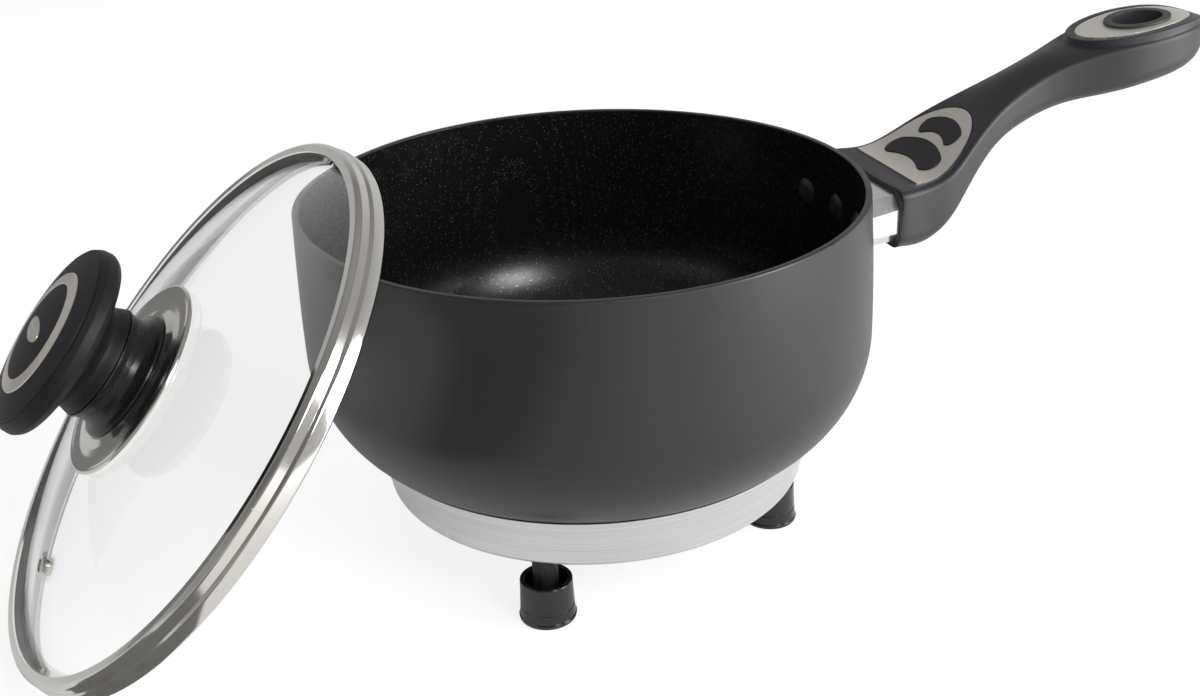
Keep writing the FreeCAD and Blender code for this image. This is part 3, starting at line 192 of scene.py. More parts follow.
def spun(name, outline, steps=160, sheet=0.0, crease=28.0):
    """Draw a half section in millimetres, vertex by vertex, and spin it round the Z axis."""
    bpy.ops.object.select_all(action="DESELECT")
    bpy.ops.mesh.primitive_plane_add(size=0.001)
    piece = bpy.context.object
    piece.name = name
    piece.data.name = name
    bpy.ops.object.mode_set(mode="EDIT")
    bpy.ops.mesh.select_all(action="SELECT")
    bpy.ops.mesh.merge(type="CENTER")
    line = [Vector((r / 1000, 0, h / 1000)) for r, h in outline]
    bpy.ops.transform.translate(value=line[0])
    for before, after in zip(line, line[1:]):
        step = {"value": after - before}
        bpy.ops.mesh.extrude_vertices_move(TRANSFORM_OT_translate=step)
    bpy.ops.mesh.select_all(action="SELECT")
    bpy.ops.mesh.spin(steps=steps, angle=2 * pi, center=(0, 0, 0), axis=(0, 0, 1))
    bpy.ops.mesh.select_all(action="SELECT")
    bpy.ops.mesh.remove_doubles(threshold=0.000002)
    bpy.ops.mesh.normals_make_consistent(inside=False)
    bpy.ops.object.mode_set(mode="OBJECT")
    if sheet:
        wall = piece.modifiers.new("wall", "SOLIDIFY")
        wall.thickness = sheet / 1000
        wall.offset = 0.0
        wall.use_even_offset = True
        bpy.ops.object.modifier_apply(modifier=wall.name)
        bpy.ops.object.mode_set(mode="EDIT")
        bpy.ops.mesh.select_all(action="SELECT")
        bpy.ops.mesh.normals_make_consistent(inside=False)
        bpy.ops.object.mode_set(mode="OBJECT")
    bpy.ops.object.shade_smooth_by_angle(angle=radians(crease))
    return piece


def clad(piece, *finishes):
    """Give a piece its finish, or several that its faces then choose from."""
    piece.data.materials.clear()
    for finish in finishes:
        piece.data.materials.append(finish.material)


def belongs(piece, body, slot_name, *stands_for):
    """A finished piece rides on its body and stands for its nodes. Its slot_name is not used."""
    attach(piece, body)
    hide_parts(*stands_for)


belly_radius = 101.8
belly_height = 84.0
corner_radius = 43.0
bow_radius = 703.7
wall = 2.2
corner_heart = (belly_radius - corner_radius, belly_height)
bow_heart = (belly_radius - bow_radius, belly_height)
outside = [(0, 46.0), (40, 46.0)] + arc(corner_heart, corner_radius, -62.1, 0, 22)
outside += arc(bow_heart, bow_radius, 0.5, 4.06, 8)
rim = eased([(100.05, 133.6, 0), (100.0, 134.3, 0.35), (97.8, 134.3, 0.35), (97.85, 133.6, 0)], 3)
inside = arc(bow_heart, bow_radius - wall, 4.06, 0.5, 8)
inside += arc(corner_heart, corner_radius - wall, 0, -54.0, 22)
inside += eased([(82.78, 50.99, 0), (80.6, 49.5, 1.2), (60, 49.5, 0)], 4) + [(0, 49.5)]
pot = spun("pot_shell", outside + rim + inside, 224)

anodised = Finish("anodised_brushed")
turning = anodised.grain(1.0, (9, 9, 3400), 2.0, 0.5)
cloud = anodised.grain(9.0)
anodised.coat(
    Base_Color=anodised.ramp(turning * 0.6 + cloud * 0.4,
                             (0.30, (0.013, 0.0135, 0.0145, 1)), (0.70, (0.018, 0.0185, 0.020, 1))),
    Metallic=0.0,
    Roughness=0.33 + turning * 0.06 + cloud * 0.03,
    Normal=anodised.relief(turning, 0.16, 0.00005))

nonstick = Finish("nonstick_speckle")
cells = {"Vector": nonstick.place, "Scale": 1150.0}
spot = nonstick.node("ShaderNodeTexVoronoi", {"feature": "F1"}, cells, "Distance")
which = nonstick.node("ShaderNodeTexVoronoi", {"feature": "F1"}, cells, "Color")
lucky = nonstick.ramp(which, (0.55, 0.0), (0.70, 1.0))
spark = nonstick.ramp(spot, (0.12, 1.0), (0.26, 0.0))
fleck = lucky * spark
mist = nonstick.grain(320.0, detail=3.0)
nonstick.coat(
    Base_Color=nonstick.blend(fleck, (0.0048, 0.0046, 0.0052, 1), (0.34, 0.34, 0.33, 1)),
    Metallic=fleck * 0.9,
    Roughness=0.23 + mist * 0.08,
    Normal=nonstick.relief(mist, 0.22, 0.0001))

rim_bare = Finish("rim_bare_aluminium")
rim_grain = rim_bare.grain(1.0, (40, 40, 900), 2.0)
rim_bare.coat(
    Base_Color=rim_bare.ramp(rim_grain,
                             (0.3, (0.045, 0.043, 0.040, 1)), (0.7, (0.09, 0.086, 0.080, 1))),
    Metallic=0.85,
    Roughness=0.28 + rim_grain * 0.14)
clad(pot, anodised, nonstick, rim_bare)
on_outside, on_inside, on_rim = 0, 1, 2
rim_from = 133.7
floor_radius = 80
floor_middle = 48
for face in pot.data.polygons:
    across = hypot(face.center.x, face.center.y) * 1000
    height = face.center.z * 1000
    if height > belly_height:
        bow = (height - belly_height) ** 2 / (2 * bow_radius)
        beyond = across - (belly_radius - wall / 2 - bow)
    else:
        round_heart = hypot(across - corner_heart[0], height - belly_height)
        beyond = round_heart - (corner_radius - wall / 2)
    if height > rim_from:
        face.material_index = on_rim
    elif across < floor_radius and height < belly_height:
        face.material_index = on_inside if height > floor_middle else on_outside
    else:
        face.material_index = on_outside if beyond > 0 else on_inside
belongs(pot, "pot", "anodised_pot", "pot_body")

# Rivets. Aluminium rivets with low domed heads hold the handle's bracket from inside the pot.
# Their heads carry a coat like the non-stick, lighter than it all over and mottled at random.
rivet_coat = Finish("rivet_coated")
rivet_mottle = rivet_coat.grain(900.0, detail=3.0)
rivet_coat.coat(
    Base_Color=rivet_coat.ramp(rivet_mottle,
                               (0.35, (0.020, 0.020, 0.021, 1)), (0.75, (0.075, 0.074, 0.073, 1))),
    Metallic=0.35,
    Roughness=0.30 + rivet_mottle * 0.12,
    Normal=rivet_coat.relief(rivet_mottle, 0.2, 0.0001))
clad(nodes["handle_rivets"], rivet_coat)

# Base skirt. A spun aluminium ring under the pot that flares up to meet its rounded corner. The
# lathe has left fine rings in it. Its lower edge turns inwards and carries the bottom cover.
skirt_line = eased([(71.5, 27.7, 0), (77.2, 27.7, 3.4), (77.9, 32.5, 0)], 6)
skirt_line += [(78.5, 35.0), (79.4, 37.5), (80.5, 40.3), (81.9, 43.6), (83.2, 46.5)]
skirt_line += eased([(84.0, 48.3, 0), (84.3, 48.95, 0.25),
                     (82.75, 47.95, 0.25), (82.3, 47.2, 0)], 3)
skirt_line += [(80.8, 44.2), (79.4, 41.1), (78.3, 38.3), (77.2, 35.2)]
skirt_line += eased([(76.3, 32.4, 0), (75.8, 29.2, 2.0), (71.5, 29.2, 0)], 5) + [(71.5, 27.7)]
skirt = spun("base_ring", skirt_line, 192)


def carve(piece, tool):
    """Cut the space of one closed shape out of a piece and take the shape away."""
    cut = piece.modifiers.new("cut", "BOOLEAN")
    cut.object = tool
    cut.operation = "DIFFERENCE"
    cut.solver = "EXACT"
    bpy.ops.object.select_all(action="DESELECT")
    bpy.context.view_layer.objects.active = piece
    piece.select_set(True)
    bpy.ops.object.modifier_apply(modifier=cut.name)
    bpy.data.objects.remove(tool)


inlet_low, inlet_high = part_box("power_inlet")
window_room = Vector((0.0003, 0.01, 0.0003))
bpy.ops.object.select_all(action="DESELECT")
bpy.ops.mesh.primitive_cube_add(size=1.0, location=(inlet_low + inlet_high) / 2,
                                scale=(inlet_high - inlet_low) + window_room)
window = bpy.context.object
bpy.ops.object.transform_apply()
carve(skirt, window)
spun_metal = Finish("spun_aluminium")
rings = spun_metal.grain(1.0, (5, 5, 3200), 3.0, 0.65)
haze = spun_metal.grain(22.0)
spun_metal.coat(
    Base_Color=spun_metal.ramp(rings * 0.8 + haze * 0.2,
                               (0.3, (0.60, 0.60, 0.60, 1)), (0.7, (0.84, 0.84, 0.84, 1))),
    Metallic=1.0,
    Roughness=0.27 + rings * 0.12,
    Normal=spun_metal.relief(rings, 0.4, 0.00008))
clad(skirt, spun_metal)
belongs(skirt, "pot", "spun_aluminium", "base_skirt")

# Bottom cover. A pressed steel disc with one stiffening bead, in satin black stove paint. It sits
# on the skirt's flange and is held by the centre stud and the four leg posts.
cover_paint = Finish("cover_paint")
peel = cover_paint.grain(420.0, detail=2.0)
cover_paint.coat(
    Base_Color=cover_paint.ramp(peel,
                                (0.3, (0.030, 0.030, 0.031, 1)), (0.7, (0.045, 0.045, 0.046, 1))),
    Roughness=0.42 + peel * 0.1,
    Normal=cover_paint.relief(peel, 0.25, 0.0001))
clad(nodes["base_cover"], cover_paint)

# Inside the base. The sheathed element, its spreader, thermostat, fuse and wires are plain
# factory parts that nobody sees unless the cover is off. They keep the shapes of the frame.
bright_steel = Finish("plain_steel")
mill = bright_steel.grain(160.0, (1, 1, 6), 3.0)
bright_steel.coat(
    Base_Color=bright_steel.ramp(mill, (0.3, (0.46, 0.46, 0.46, 1)), (0.7, (0.60, 0.60, 0.59, 1))),
    Metallic=1.0,
    Roughness=0.30 + mill * 0.14)
for name in ("heating_element", "element_terminals", "thermal_fuse", "heat_shield",
             "centre_stud", "stud_spacer", "cover_spacer", "centre_washer", "centre_nut",
             "leg_nuts", "handle_tang", "tang_screw", "knob_screw", "knob_washer"):
    clad(nodes[name], bright_steel)
clad(nodes["heat_spreader"], spun_metal)
rubber = Finish("silicone_grey")
bloom = rubber.grain(90.0, detail=3.0)
rubber.coat(
    Base_Color=rubber.ramp(bloom,
                           (0.3, (0.085, 0.087, 0.086, 1)), (0.7, (0.115, 0.118, 0.116, 1))),
    Roughness=0.5 + bloom * 0.12)
for name in ("skirt_gasket", "knob_seal"):
    clad(nodes[name], rubber)
sleeve = Finish("woven_sleeve")
weave = sleeve.node("ShaderNodeTexWave", {"wave_type": "BANDS", "bands_direction": "DIAGONAL"},
                    {"Vector": sleeve.place, "Scale": 900.0, "Distortion": 1.5}, "Fac")
sleeve.coat(
    Base_Color=sleeve.ramp(weave, (0.2, (0.36, 0.34, 0.29, 1)), (0.8, (0.60, 0.57, 0.50, 1))),
    Roughness=0.8,
    Normal=sleeve.relief(weave, 0.5, 0.0002))
clad(nodes["supply_wires"], sleeve)

# Power inlet. A black phenolic socket with two plated pins, pushed through the skirt at the back.
# The moulding is glossy with a faint orange peel.
phenolic = Finish("phenolic_black")
skin = phenolic.grain(260.0, detail=2.0)
phenolic.coat(
    Base_Color=phenolic.ramp(skin,
                             (0.3, (0.016, 0.016, 0.016, 1)), (0.7, (0.024, 0.023, 0.022, 1))),
    Roughness=0.24 + skin * 0.14,
    Normal=phenolic.relief(skin, 0.2, 0.0001))
for name in ("power_inlet", "thermostat"):
    clad(nodes[name], phenolic)
plated = Finish("plated_brass")
wear = plated.grain(700.0, detail=3.0)
plated.coat(
    Base_Color=plated.ramp(wear, (0.3, (0.62, 0.56, 0.40, 1)), (0.7, (0.72, 0.69, 0.60, 1))),
    Metallic=1.0,
    Roughness=0.2 + wear * 0.12)
clad(nodes["inlet_pins"], plated)

# Legs. Hexagonal steel posts, blacked, screwed up through the bottom cover. Each stands in a
# glossy black moulded cup with an open top and a thin lip at the table.
blacked = Finish("blacked_steel")
oxide = blacked.grain(240.0, (1, 1, 0.25), 4.0)
blacked.coat(
    Base_Color=blacked.ramp(oxide,
                            (0.35, (0.014, 0.014, 0.014, 1)), (0.75, (0.050, 0.048, 0.045, 1))),
    Metallic=0.6,
    Roughness=0.34 + oxide * 0.2)
clad(nodes["leg_posts"], blacked)
cup_line = eased([(0, 0, 0), (9.9, 0, 0.5), (10.2, 1.4, 0.3), (9.75, 1.8, 0.2),
                  (9.6, 4.6, 0)], 4)
cup_line += eased([(9.58, 5.0, 0), (9.35, 5.2, 0.1), (9.35, 5.7, 0.1), (9.54, 5.9, 0)], 3)
cup_line += eased([(9.3, 11.5, 0), (9.2, 15.6, 0.5), (7.7, 15.6, 0.4), (6.2, 8.0, 0.6),
                   (4.75, 8.0, 0.2), (4.75, 3.1, 0.2), (0, 3.1, 0)], 5)
moulded = Finish("gloss_black_moulding")
sheen = moulded.grain(120.0, detail=2.0)
moulded.coat(
    Base_Color=(0.0075, 0.0075, 0.0080, 1),
    Roughness=0.07 + sheen * 0.10,
    Coat_Weight=0.3,
    Normal=moulded.relief(sheen, 0.12, 0.0002))
cups = []
foot_circle = 0.0662
for azimuth in (-123.80, -21.90, 67.15, 147.15):
    cup = spun("foot_cup", cup_line, 72)
    around = radians(azimuth)
    cup.matrix_world = Matrix.Translation((foot_circle * cos(around), foot_circle * sin(around), 0))
    bpy.ops.object.transform_apply()
    cups.append(cup)
bpy.ops.object.select_all(action="DESELECT")
for cup in cups:
    cup.select_set(True)
bpy.context.view_layer.objects.active = cups[0]
bpy.ops.object.join()
feet = cups[0]
feet.name = "foot_cups"
clad(feet, moulded)
belongs(feet, "pot", "gloss_black", "foot_caps")


# Handle bracket. A polished stainless sleeve with bevelled corners, riveted to the pot. It slips
# into the front of the handle and hides the tang.
def eased_copy(node, name, ease, crease=30.0):
    """A merged copy of a node's shape. With an ease, its flat faces are joined, its edges eased."""
    piece = bpy.data.objects.new(name, nodes[node].data.copy())
    bpy.context.scene.collection.objects.link(piece)
    bpy.ops.object.select_all(action="DESELECT")
    bpy.context.view_layer.objects.active = piece
    piece.select_set(True)
    bpy.ops.object.mode_set(mode="EDIT")
    bpy.ops.mesh.select_all(action="SELECT")
    bpy.ops.mesh.remove_doubles(threshold=0.000005)
    if ease:
        bpy.ops.mesh.dissolve_limited(angle_limit=radians(0.05))
    bpy.ops.mesh.normals_make_consistent(inside=False)
    bpy.ops.object.mode_set(mode="OBJECT")
    if ease:
        edge = piece.modifiers.new("edge", "BEVEL")
        edge.width = ease / 1000
        edge.segments = 3
        edge.limit_method = "ANGLE"
        edge.angle_limit = radians(crease)
        edge.miter_outer = "MITER_ARC"
        bpy.ops.object.modifier_apply(modifier=edge.name)
    bpy.ops.object.shade_smooth_by_angle(angle=radians(crease))
    even = piece.modifiers.new("even", "WEIGHTED_NORMAL")
    even.keep_sharp = True
    bpy.ops.object.modifier_apply(modifier=even.name)
    return piece


polished = Finish("polished_steel")
breath = polished.grain(30.0, detail=3.0)
hair = polished.grain(1400.0, detail=2.0)
polished.coat(
    Base_Color=polished.ramp(breath, (0.3, (0.75, 0.73, 0.68, 1)), (0.7, (0.82, 0.80, 0.75, 1))),
    Metallic=1.0,
    Roughness=0.07 + breath * 0.05 + hair * 0.03)
sleeve_steel = Finish("sleeve_steel")
drawn = sleeve_steel.grain(1.0, (60, 900, 900), 3.0)
sleeve_steel.coat(
    Base_Color=sleeve_steel.ramp(drawn,
                                 (0.3, (0.80, 0.79, 0.77, 1)), (0.7, (0.88, 0.87, 0.85, 1))),
    Metallic=0.9,
    Roughness=0.17 + drawn * 0.08)
bracket = eased_copy("handle_bracket", "bracket_sleeve", 0.35)
clad(bracket, sleeve_steel)
belongs(bracket, "pot", "polished_steel", "handle_bracket")

# Handle. One long moulding in matt soft-touch black over the steel tang. It is wide where it
# takes the bracket, waisted for the hand and flared again round the hanging hole.
soft_touch = Finish("soft_touch_black")
pore = soft_touch.grain(900.0, detail=3.0)
hand = soft_touch.grain(18.0, detail=3.0)
soft_touch.coat(
    Base_Color=soft_touch.ramp(hand,
                               (0.3, (0.0125, 0.013, 0.0145, 1)), (0.7, (0.0165, 0.017, 0.019, 1))),
    Roughness=0.46 + pore * 0.08 + hand * 0.05,
    Sheen_Weight=0.10,
    Sheen_Roughness=0.45,
    Normal=soft_touch.relief(pore, 0.3, 0.00009))
handle = eased_copy("handle_body", "handle_moulding", 0.0, 32.0)
clad(handle, soft_touch)
belongs(handle, "pot", "soft_black", "handle_body")

# Handle trim. A satin nickel shield with two curved windows near the pot and an oval plate round
# the hanging hole, both let into the moulding, with bright bevelled edges.
satin = Finish("satin_nickel")
rubbed = satin.grain(1.0, (900, 60, 60), 3.0, 0.6)
satin_cloud = satin.grain(60.0)
satin.coat(
    Base_Color=satin.ramp(rubbed * 0.6 + satin_cloud * 0.4,
                          (0.3, (0.70, 0.655, 0.59, 1)), (0.7, (0.80, 0.75, 0.675, 1))),
    Metallic=0.68,
    Roughness=0.28 + rubbed * 0.12)
shield = eased_copy("handle_shield_plate", "shield_plate", 0.35)
clad(shield, satin)
belongs(shield, "pot", "satin_trim", "handle_shield_plate")
ring_plate = eased_copy("hang_hole_plate", "end_plate", 0.35)
clad(ring_plate, satin)
belongs(ring_plate, "pot", "satin_trim", "hang_hole_plate")

# Grip pads. Soft black rubber fills the shield's two windows and stands a little proud of it.
pad_rubber = Finish("pad_rubber")
tooth = pad_rubber.grain(700.0, detail=3.0)
pad_rubber.coat(
    Base_Color=pad_rubber.ramp(tooth,
                               (0.3, (0.012, 0.012, 0.013, 1)), (0.7, (0.019, 0.019, 0.020, 1))),
    Roughness=0.5 + tooth * 0.12,
    Normal=pad_rubber.relief(tooth, 0.35, 0.0001))
for node, name in (("front_grip_pad", "pad_front"), ("rear_grip_pad", "pad_rear")):
    pad = eased_copy(node, name, 0.4)
    clad(pad, pad_rubber)
    belongs(pad, "pot", "grip_rubber", node)

# Hanging hole grommet. A dark grey moulded ring that lines the oval hole from top to bottom.
grommet_grey = Finish("grommet_grey")
fine = grommet_grey.grain(500.0)
grommet_grey.coat(
    Base_Color=grommet_grey.ramp(fine,
                                 (0.3, (0.026, 0.026, 0.028, 1)), (0.7, (0.036, 0.036, 0.038, 1))),
    Roughness=0.38 + fine * 0.1)
grommet = eased_copy("hang_hole_grommet", "hole_grommet", 0.45)
clad(grommet, grommet_grey)
belongs(grommet, "pot", "soft_black", "hang_hole_grommet")

# Lid glass. Clear tempered soda glass, sagged to a shallow dome, with a ground edge that shows
# grey-green under the band. The lid stands on its edge on the table and leans on the pot's rim.
lean = radians(42.0)
facing = radians(184.1)
lid_normal = Vector((cos(facing) * cos(lean), sin(facing) * cos(lean), sin(lean)))
lid_up = Vector((-cos(facing) * sin(lean), -sin(facing) * sin(lean), cos(lean)))
lid_across = lid_up.cross(lid_normal)
lid_azimuth = radians(181.1)
lid_distance = 0.142215
lid_reach = 0.1024
lid_centre = Vector((lid_distance * cos(lid_azimuth), lid_distance * sin(lid_azimuth),
                     lid_reach * cos(lean)))
lid_place = Matrix((lid_across, lid_up, lid_normal)).transposed().to_4x4()
lid_place.translation = lid_centre


def lean_lid(piece):
    """Stand a finished lid piece, modelled flat on its own axis, where the lid leans."""
    bpy.ops.object.select_all(action="DESELECT")
    bpy.context.view_layer.objects.active = piece
    piece.select_set(True)
    piece.matrix_world = lid_place
    bpy.ops.object.transform_apply()


glass_radius = 99.8
glass_rise = 21.4
glass_top = 27.5
glass_sheet = 4.0
sphere = (glass_radius ** 2 + glass_rise ** 2) / (2 * glass_rise)
glass_heart = glass_top - sphere


def on_sphere(radius, steps, start, end):
    """Heights on the lid's dome at even steps of distance from its axis."""
    spots = [start + (end - start) * k / steps for k in range(steps + 1)]
    return [(r, glass_heart + sqrt(radius ** 2 - r ** 2)) for r in spots]


dome = on_sphere(sphere, 26, 4.0, 99.3)
under = on_sphere(sphere - glass_sheet, 26, 99.3, 4.0)
edge = [(99.75, dome[-1][1] - 0.55), (glass_radius, dome[-1][1] - 2.0),
        (99.75, under[0][1] + 0.55)]
glass_pane = spun("lid_dome", dome + edge + under + [dome[0]], 192)
lean_lid(glass_pane)
clear = Finish("clear_glass")
smear = clear.grain(26.0, detail=3.0)
clear.coat(
    Base_Color=(0.935, 0.945, 0.937, 1),
    Roughness=smear * 0.015,
    IOR=1.5,
    Transmission_Weight=1.0)
clad(glass_pane, clear)
glass_pane.visible_shadow = False
belongs(glass_pane, "lid", "clear_glass", "lid_glass")

# Lid band. A strip of stainless steel rolled into a ring round the glass, with a step round its
# middle and a lip that drops inside the pot's mouth. It is polished like a mirror.
band_line = eased([(96.6, -0.7, 0), (96.6, 0.42, 0.45), (102.0, 0.42, 0.6), (102.0, 4.7, 0.5),
                   (101.1, 5.5, 0.5), (101.1, 8.7, 0.9), (100.0, 9.8, 0.8), (97.3, 9.8, 0)], 6)
band = spun("lid_band", band_line, 256, sheet=0.78, crease=34.0)
seam_turn = radians(-82.4)
seam_slit = (0.00032, 0.0012, 0.0052)
for seam_radius, seam_height in ((102.75, 2.6), (101.85, 7.4)):
    bpy.ops.object.select_all(action="DESELECT")
    bpy.ops.mesh.primitive_cube_add(size=1.0, scale=seam_slit,
                                    location=(0, seam_radius / 1000, seam_height / 1000))
    slit = bpy.context.object
    bpy.ops.object.transform_apply()
    slit.matrix_world = Matrix.Rotation(seam_turn, 4, "Z")
    bpy.ops.object.transform_apply()
    carve(band, slit)
bpy.ops.object.shade_smooth_by_angle(angle=radians(34))
lean_lid(band)
clad(band, polished)
belongs(band, "lid", "polished_steel", "lid_rim_band")

# Lid seal. Grey silicone squeezed between the band and the glass, seen as a soft dark line.
clad(nodes["lid_seal"], rubber)

# Vent. A small stainless eyelet rolled through the glass, with a bright flange.
clad(nodes["vent_eyelet"], polished)

# Knob dish. A shallow polished steel saucer with a rounded rim, which spreads the knob's clamp
# load over the glass.
saucer = [(7.0, 27.6), (21.0, 27.6)]
saucer += eased([(21.5, 27.6, 0), (23.2, 27.45, 1.5), (26.0, 26.55, 6.0), (29.5, 26.15, 10.0),
                 (32.6, 26.35, 4.0), (34.3, 26.72, 0.6), (35.0, 26.2, 0.5), (34.95, 25.4, 0.3),
                 (34.3, 25.15, 0)], 6)
saucer += on_sphere(sphere + 0.06, 6, 34.0, 7.0) + [(7.0, 27.6)]
dish = spun("knob_saucer", saucer, 160, crease=40.0)
lean_lid(dish)
clad(dish, polished)
belongs(dish, "lid", "polished_steel", "knob_dish")

# Knob collar. A waisted foot in smooth black moulding between the saucer and the grip. The knob's
# screw passes through its middle.
collar_line = eased([(2.7, 27.65, 0), (22.4, 27.65, 0.25), (22.4, 28.5, 0.3), (20.7, 29.5, 0.8),
                     (19.3, 31.0, 1.5), (18.75, 33.0, 1.5), (18.85, 35.2, 1.5),
                     (19.35, 36.8, 0.8), (19.65, 37.2, 0.2), (19.65, 37.95, 0.2),
                     (2.7, 37.95, 0)], 5) + [(2.7, 27.65)]
collar = spun("knob_collar_gloss", collar_line, 128, crease=40.0)
lean_lid(collar)
collar_black = Finish("collar_black")
wiped = collar_black.grain(140.0, detail=2.0)
collar_black.coat(
    Base_Color=(0.0095, 0.0095, 0.0105, 1),
    Roughness=0.22 + wiped * 0.10)
clad(collar, collar_black)
belongs(collar, "lid", "gloss_black", "knob_collar")

# Knob grip. A lens-shaped cap on a flared neck in the handle's matt soft-touch black, its base
# colour set darker as painted shade for the knob, which faces away from the lamps. It has a fine
# groove round its face and a ring-shaped recess for the inlay.
cap_radius = 31.4
cap_rise = 4.4
cap_top = 61.0
recess = -0.9
cap_sphere = (cap_radius ** 2 + cap_rise ** 2) / (2 * cap_rise)
cap_heart = cap_top - cap_sphere


def on_cap(radius, lift=0.0):
    return (radius, cap_heart + sqrt((cap_sphere + lift) ** 2 - radius ** 2))


grip_line = eased([(2.7, 38.05, 0), (19.35, 38.05, 0.3), (19.2, 38.9, 0.5), (18.75, 40.2, 1.0),
                   (18.3, 41.4, 1.5), (18.3, 42.6, 1.0), (19.4, 44.3, 1.5), (22.1, 45.9, 3.0),
                   (28.3, 48.15, 3.0), (31.9, 49.5, 2.0), (33.1, 51.6, 2.0), (32.8, 54.4, 2.0),
                   (31.7, 56.35, 0.3), (30.9, 56.45, 0.2), (30.75, 56.95, 0)], 6)
grip_line += [on_cap(r) for r in (30.6, 29.0, 27.0, 25.0, 23.0, 22.2, 21.95)]
grip_line += [on_cap(21.9, recess), on_cap(17.1, recess)]
grip_line += [on_cap(r) for r in (17.05, 16.6, 15.0, 12.0, 9.0, 6.0, 3.0, 0.0)]
grip = spun("knob_cap", grip_line, 144, crease=36.0)
lean_lid(grip)
grip_black_painted_shade = Finish("grip_black_painted_shade")
grip_pore = grip_black_painted_shade.grain(900.0, detail=3.0)
grip_black_painted_shade.coat(
    # The base colour is darker than the handle's: painted shade for the less lit knob.
    Base_Color=(0.0090, 0.0092, 0.0102, 1),
    Specular_IOR_Level=0.35,
    Roughness=0.46 + grip_pore * 0.10,
    Normal=grip_black_painted_shade.relief(grip_pore, 0.3, 0.00009))
clad(grip, grip_black_painted_shade)
belongs(grip, "lid", "soft_black", "knob_grip")

# Knob inlay. A plain satin nickel ring pressed into the grip's face, and a small oval of the same
# metal in its middle. Their edges are bevelled and catch the light.
seat, shoulder, proud = -0.85, -0.05, 0.24
inlay_line = [on_cap(17.2, seat), on_cap(17.2, shoulder), on_cap(17.5, proud)]
inlay_line += [on_cap(r, proud) for r in (18.3, 19.5, 20.7, 21.5)]
inlay_line += [on_cap(21.8, shoulder), on_cap(21.8, seat)]
inlay = spun("inlay_ring", inlay_line + [inlay_line[0]], 144, crease=24.0)
lean_lid(inlay)
clad(inlay, satin)
belongs(inlay, "lid", "satin_trim", "knob_inlay_ring")
inlay_heart = eased_copy("knob_inlay_centre", "inlay_oval", 0.2)
clad(inlay_heart, satin)
belongs(inlay_heart, "lid", "satin_trim", "knob_inlay_centre")

# Table. A wide pale sweep with no seam in sight. The camera, also through the glass, sees it
# partly lit by itself, so that it comes out white and only soft shadows mark it.
bpy.ops.object.select_all(action="DESELECT")
bpy.ops.mesh.primitive_plane_add(size=8.0, location=(0, 0, 0))
table = bpy.context.object
table.name = "table"
bpy.ops.object.transform_apply()
paper = Finish("white_paper")
tooth_paper = paper.grain(6.0)
paper.coat(Base_Color=paper.ramp(tooth_paper, (0.0, 0.90), (1.0, 0.93)), Roughness=0.8)
lit_share = 0.70
tree = paper.tree
path = tree.nodes.new("ShaderNodeLightPath")
direct = paper.node("ShaderNodeMath", {"operation": "MAXIMUM"},
                    {0: Tone(paper, path.outputs["Is Camera Ray"]),
                     1: Tone(paper, path.outputs["Is Transmission Ray"])})
glow = tree.nodes.new("ShaderNodeEmission")
glow.inputs["Strength"].default_value = 1.17
choose = tree.nodes.new("ShaderNodeMixShader")
tree.links.new((direct * lit_share).socket, choose.inputs[0])
tree.links.new(paper.shader.outputs[0], choose.inputs[1])
tree.links.new(glow.outputs[0], choose.inputs[2])
tree.links.new(choose.outputs[0], tree.nodes["Material Output"].inputs["Surface"])
clad(table, paper)

# Studio. White surroundings that fall off towards the ceiling and to the front left, and two soft
# lamps, at the right and in front. Mirror reflections see this room at about half its strength.
world = bpy.data.worlds.new("studio")
bpy.context.scene.world = world
world.use_nodes = True
sky = world.node_tree
seen = sky.nodes["Background"]
aim = sky.nodes.new("ShaderNodeTexCoord")
parts = sky.nodes.new("ShaderNodeSeparateXYZ")
sky.links.new(aim.outputs["Generated"], parts.inputs[0])
fall = sky.nodes.new("ShaderNodeValToRGB")
greys = ((0.0, 1.0), (0.30, 0.92), (0.62, 0.40), (1.0, 0.62))
stops = fall.color_ramp.elements
while len(stops) < len(greys):
    stops.new(0.5)
for stop, (height, grey) in zip(stops, greys):
    stop.position = height
    stop.color = (grey, grey, grey * 1.01, 1)
sky.links.new(parts.outputs["Z"], fall.inputs[0])
sky.links.new(fall.outputs[0], seen.inputs["Color"])
white = sky.nodes.new("ShaderNodeBackground")
white.inputs["Strength"].default_value = 1.0
white.inputs["Color"].default_value = (1, 1, 1, 1)
ray = sky.nodes.new("ShaderNodeLightPath")
either = sky.nodes.new("ShaderNodeMath")
either.operation = "MAXIMUM"
pick = sky.nodes.new("ShaderNodeMixShader")
sky.links.new(ray.outputs["Is Camera Ray"], either.inputs[0])
sky.links.new(ray.outputs["Is Transmission Ray"], either.inputs[1])
room = sky.nodes.new("ShaderNodeMath")
room.operation = "MULTIPLY_ADD"
room.inputs[1].default_value = -0.45
room.inputs[2].default_value = 1.0
sky.links.new(ray.outputs["Is Glossy Ray"], room.inputs[0])
toward = sky.nodes.new("ShaderNodeVectorMath")
toward.operation = "DOT_PRODUCT"
toward.inputs[1].default_value = (0.22, 0.15, 0.0)
sky.links.new(aim.outputs["Generated"], toward.inputs[0])
side = sky.nodes.new("ShaderNodeMath")
side.operation = "ADD"
side.inputs[1].default_value = 0.85
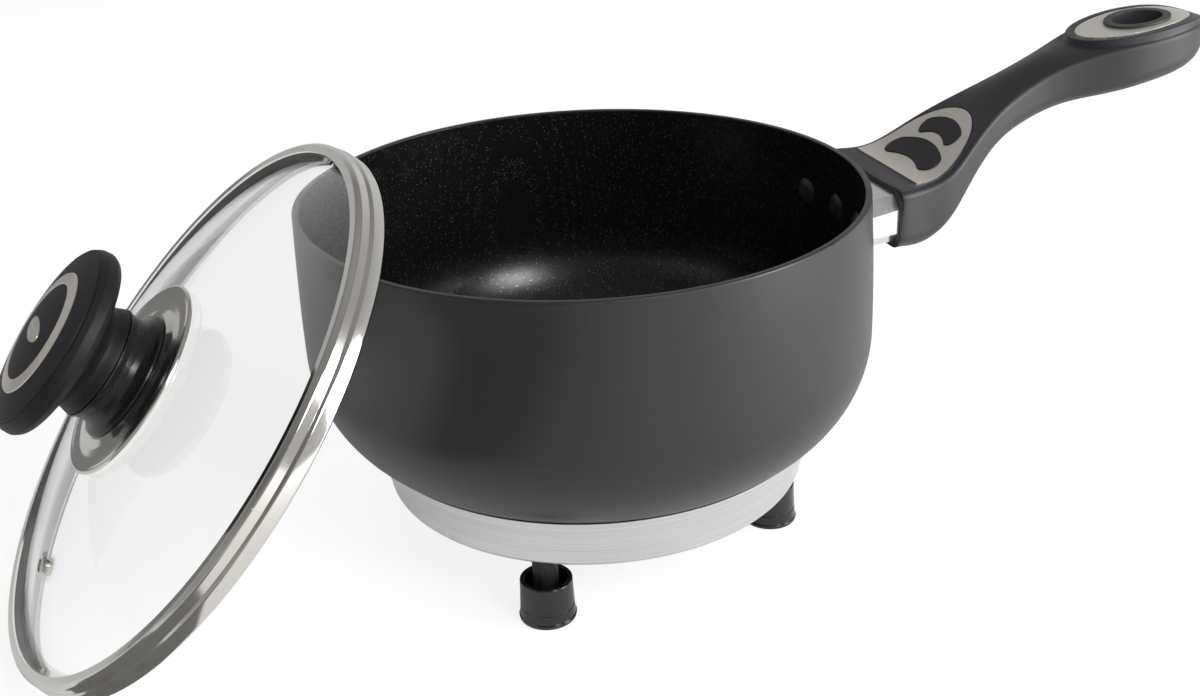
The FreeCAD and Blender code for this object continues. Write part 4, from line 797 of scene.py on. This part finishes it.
sky.links.new(toward.outputs["Value"], side.inputs[0])
level = sky.nodes.new("ShaderNodeMath")
level.operation = "MULTIPLY"
sky.links.new(room.outputs[0], level.inputs[0])
sky.links.new(side.outputs[0], level.inputs[1])
sky.links.new(level.outputs[0], seen.inputs["Strength"])
sky.links.new(either.outputs[0], pick.inputs[0])
sky.links.new(seen.outputs[0], pick.inputs[1])
sky.links.new(white.outputs[0], pick.inputs[2])
sky.links.new(pick.outputs[0], sky.nodes["World Output"].inputs["Surface"])


def soft_lamp(name, place, target, size, watts):
    """A square soft lamp at a place, turned towards what it lights."""
    lamp = bpy.data.objects.new(name, bpy.data.lights.new(name, "AREA"))
    bpy.context.scene.collection.objects.link(lamp)
    lamp.data.size = size
    lamp.data.energy = watts
    lamp.location = place
    lamp.rotation_euler = (Vector(target) - Vector(place)).to_track_quat("-Z", "Y").to_euler()


soft_lamp("right", (1.05, -0.70, 0.34), (0, 0, 0.08), 0.55, 14.5)
soft_lamp("front", (0.44, -1.20, 0.92), (0, 0, 0.07), 0.42, 9.0)


def grey_card(name, place, size, turn):
    """A matt grey card that only mirror reflections see, to give polished metal its dark bands."""
    bpy.ops.object.select_all(action="DESELECT")
    bpy.ops.mesh.primitive_plane_add(size=1.0)
    card = bpy.context.object
    card.name = name
    card.matrix_world = (Matrix.Translation(place) @ Matrix.Rotation(radians(turn[1]), 4, "Z")
                         @ Matrix.Rotation(radians(turn[0]), 4, "Y")
                         @ Matrix.Diagonal((size[0], size[1], 1, 1)))
    bpy.ops.object.transform_apply()
    clad(card, card_grey)
    card.visible_camera = False
    card.visible_diffuse = False
    card.visible_transmission = False
    card.visible_shadow = False


card_grey = Finish("card_grey")
felt = card_grey.grain(200.0)
card_grey.coat(Base_Color=card_grey.ramp(felt, (0.3, 0.16), (0.7, 0.20)), Roughness=0.9)
grey_card("card_left", (-0.36, -0.36, 0.001), (0.40, 0.60), (0, 0))
grey_card("card_back", (-0.62, 0.72, 0.10), (0.24, 0.7), (90, 128))
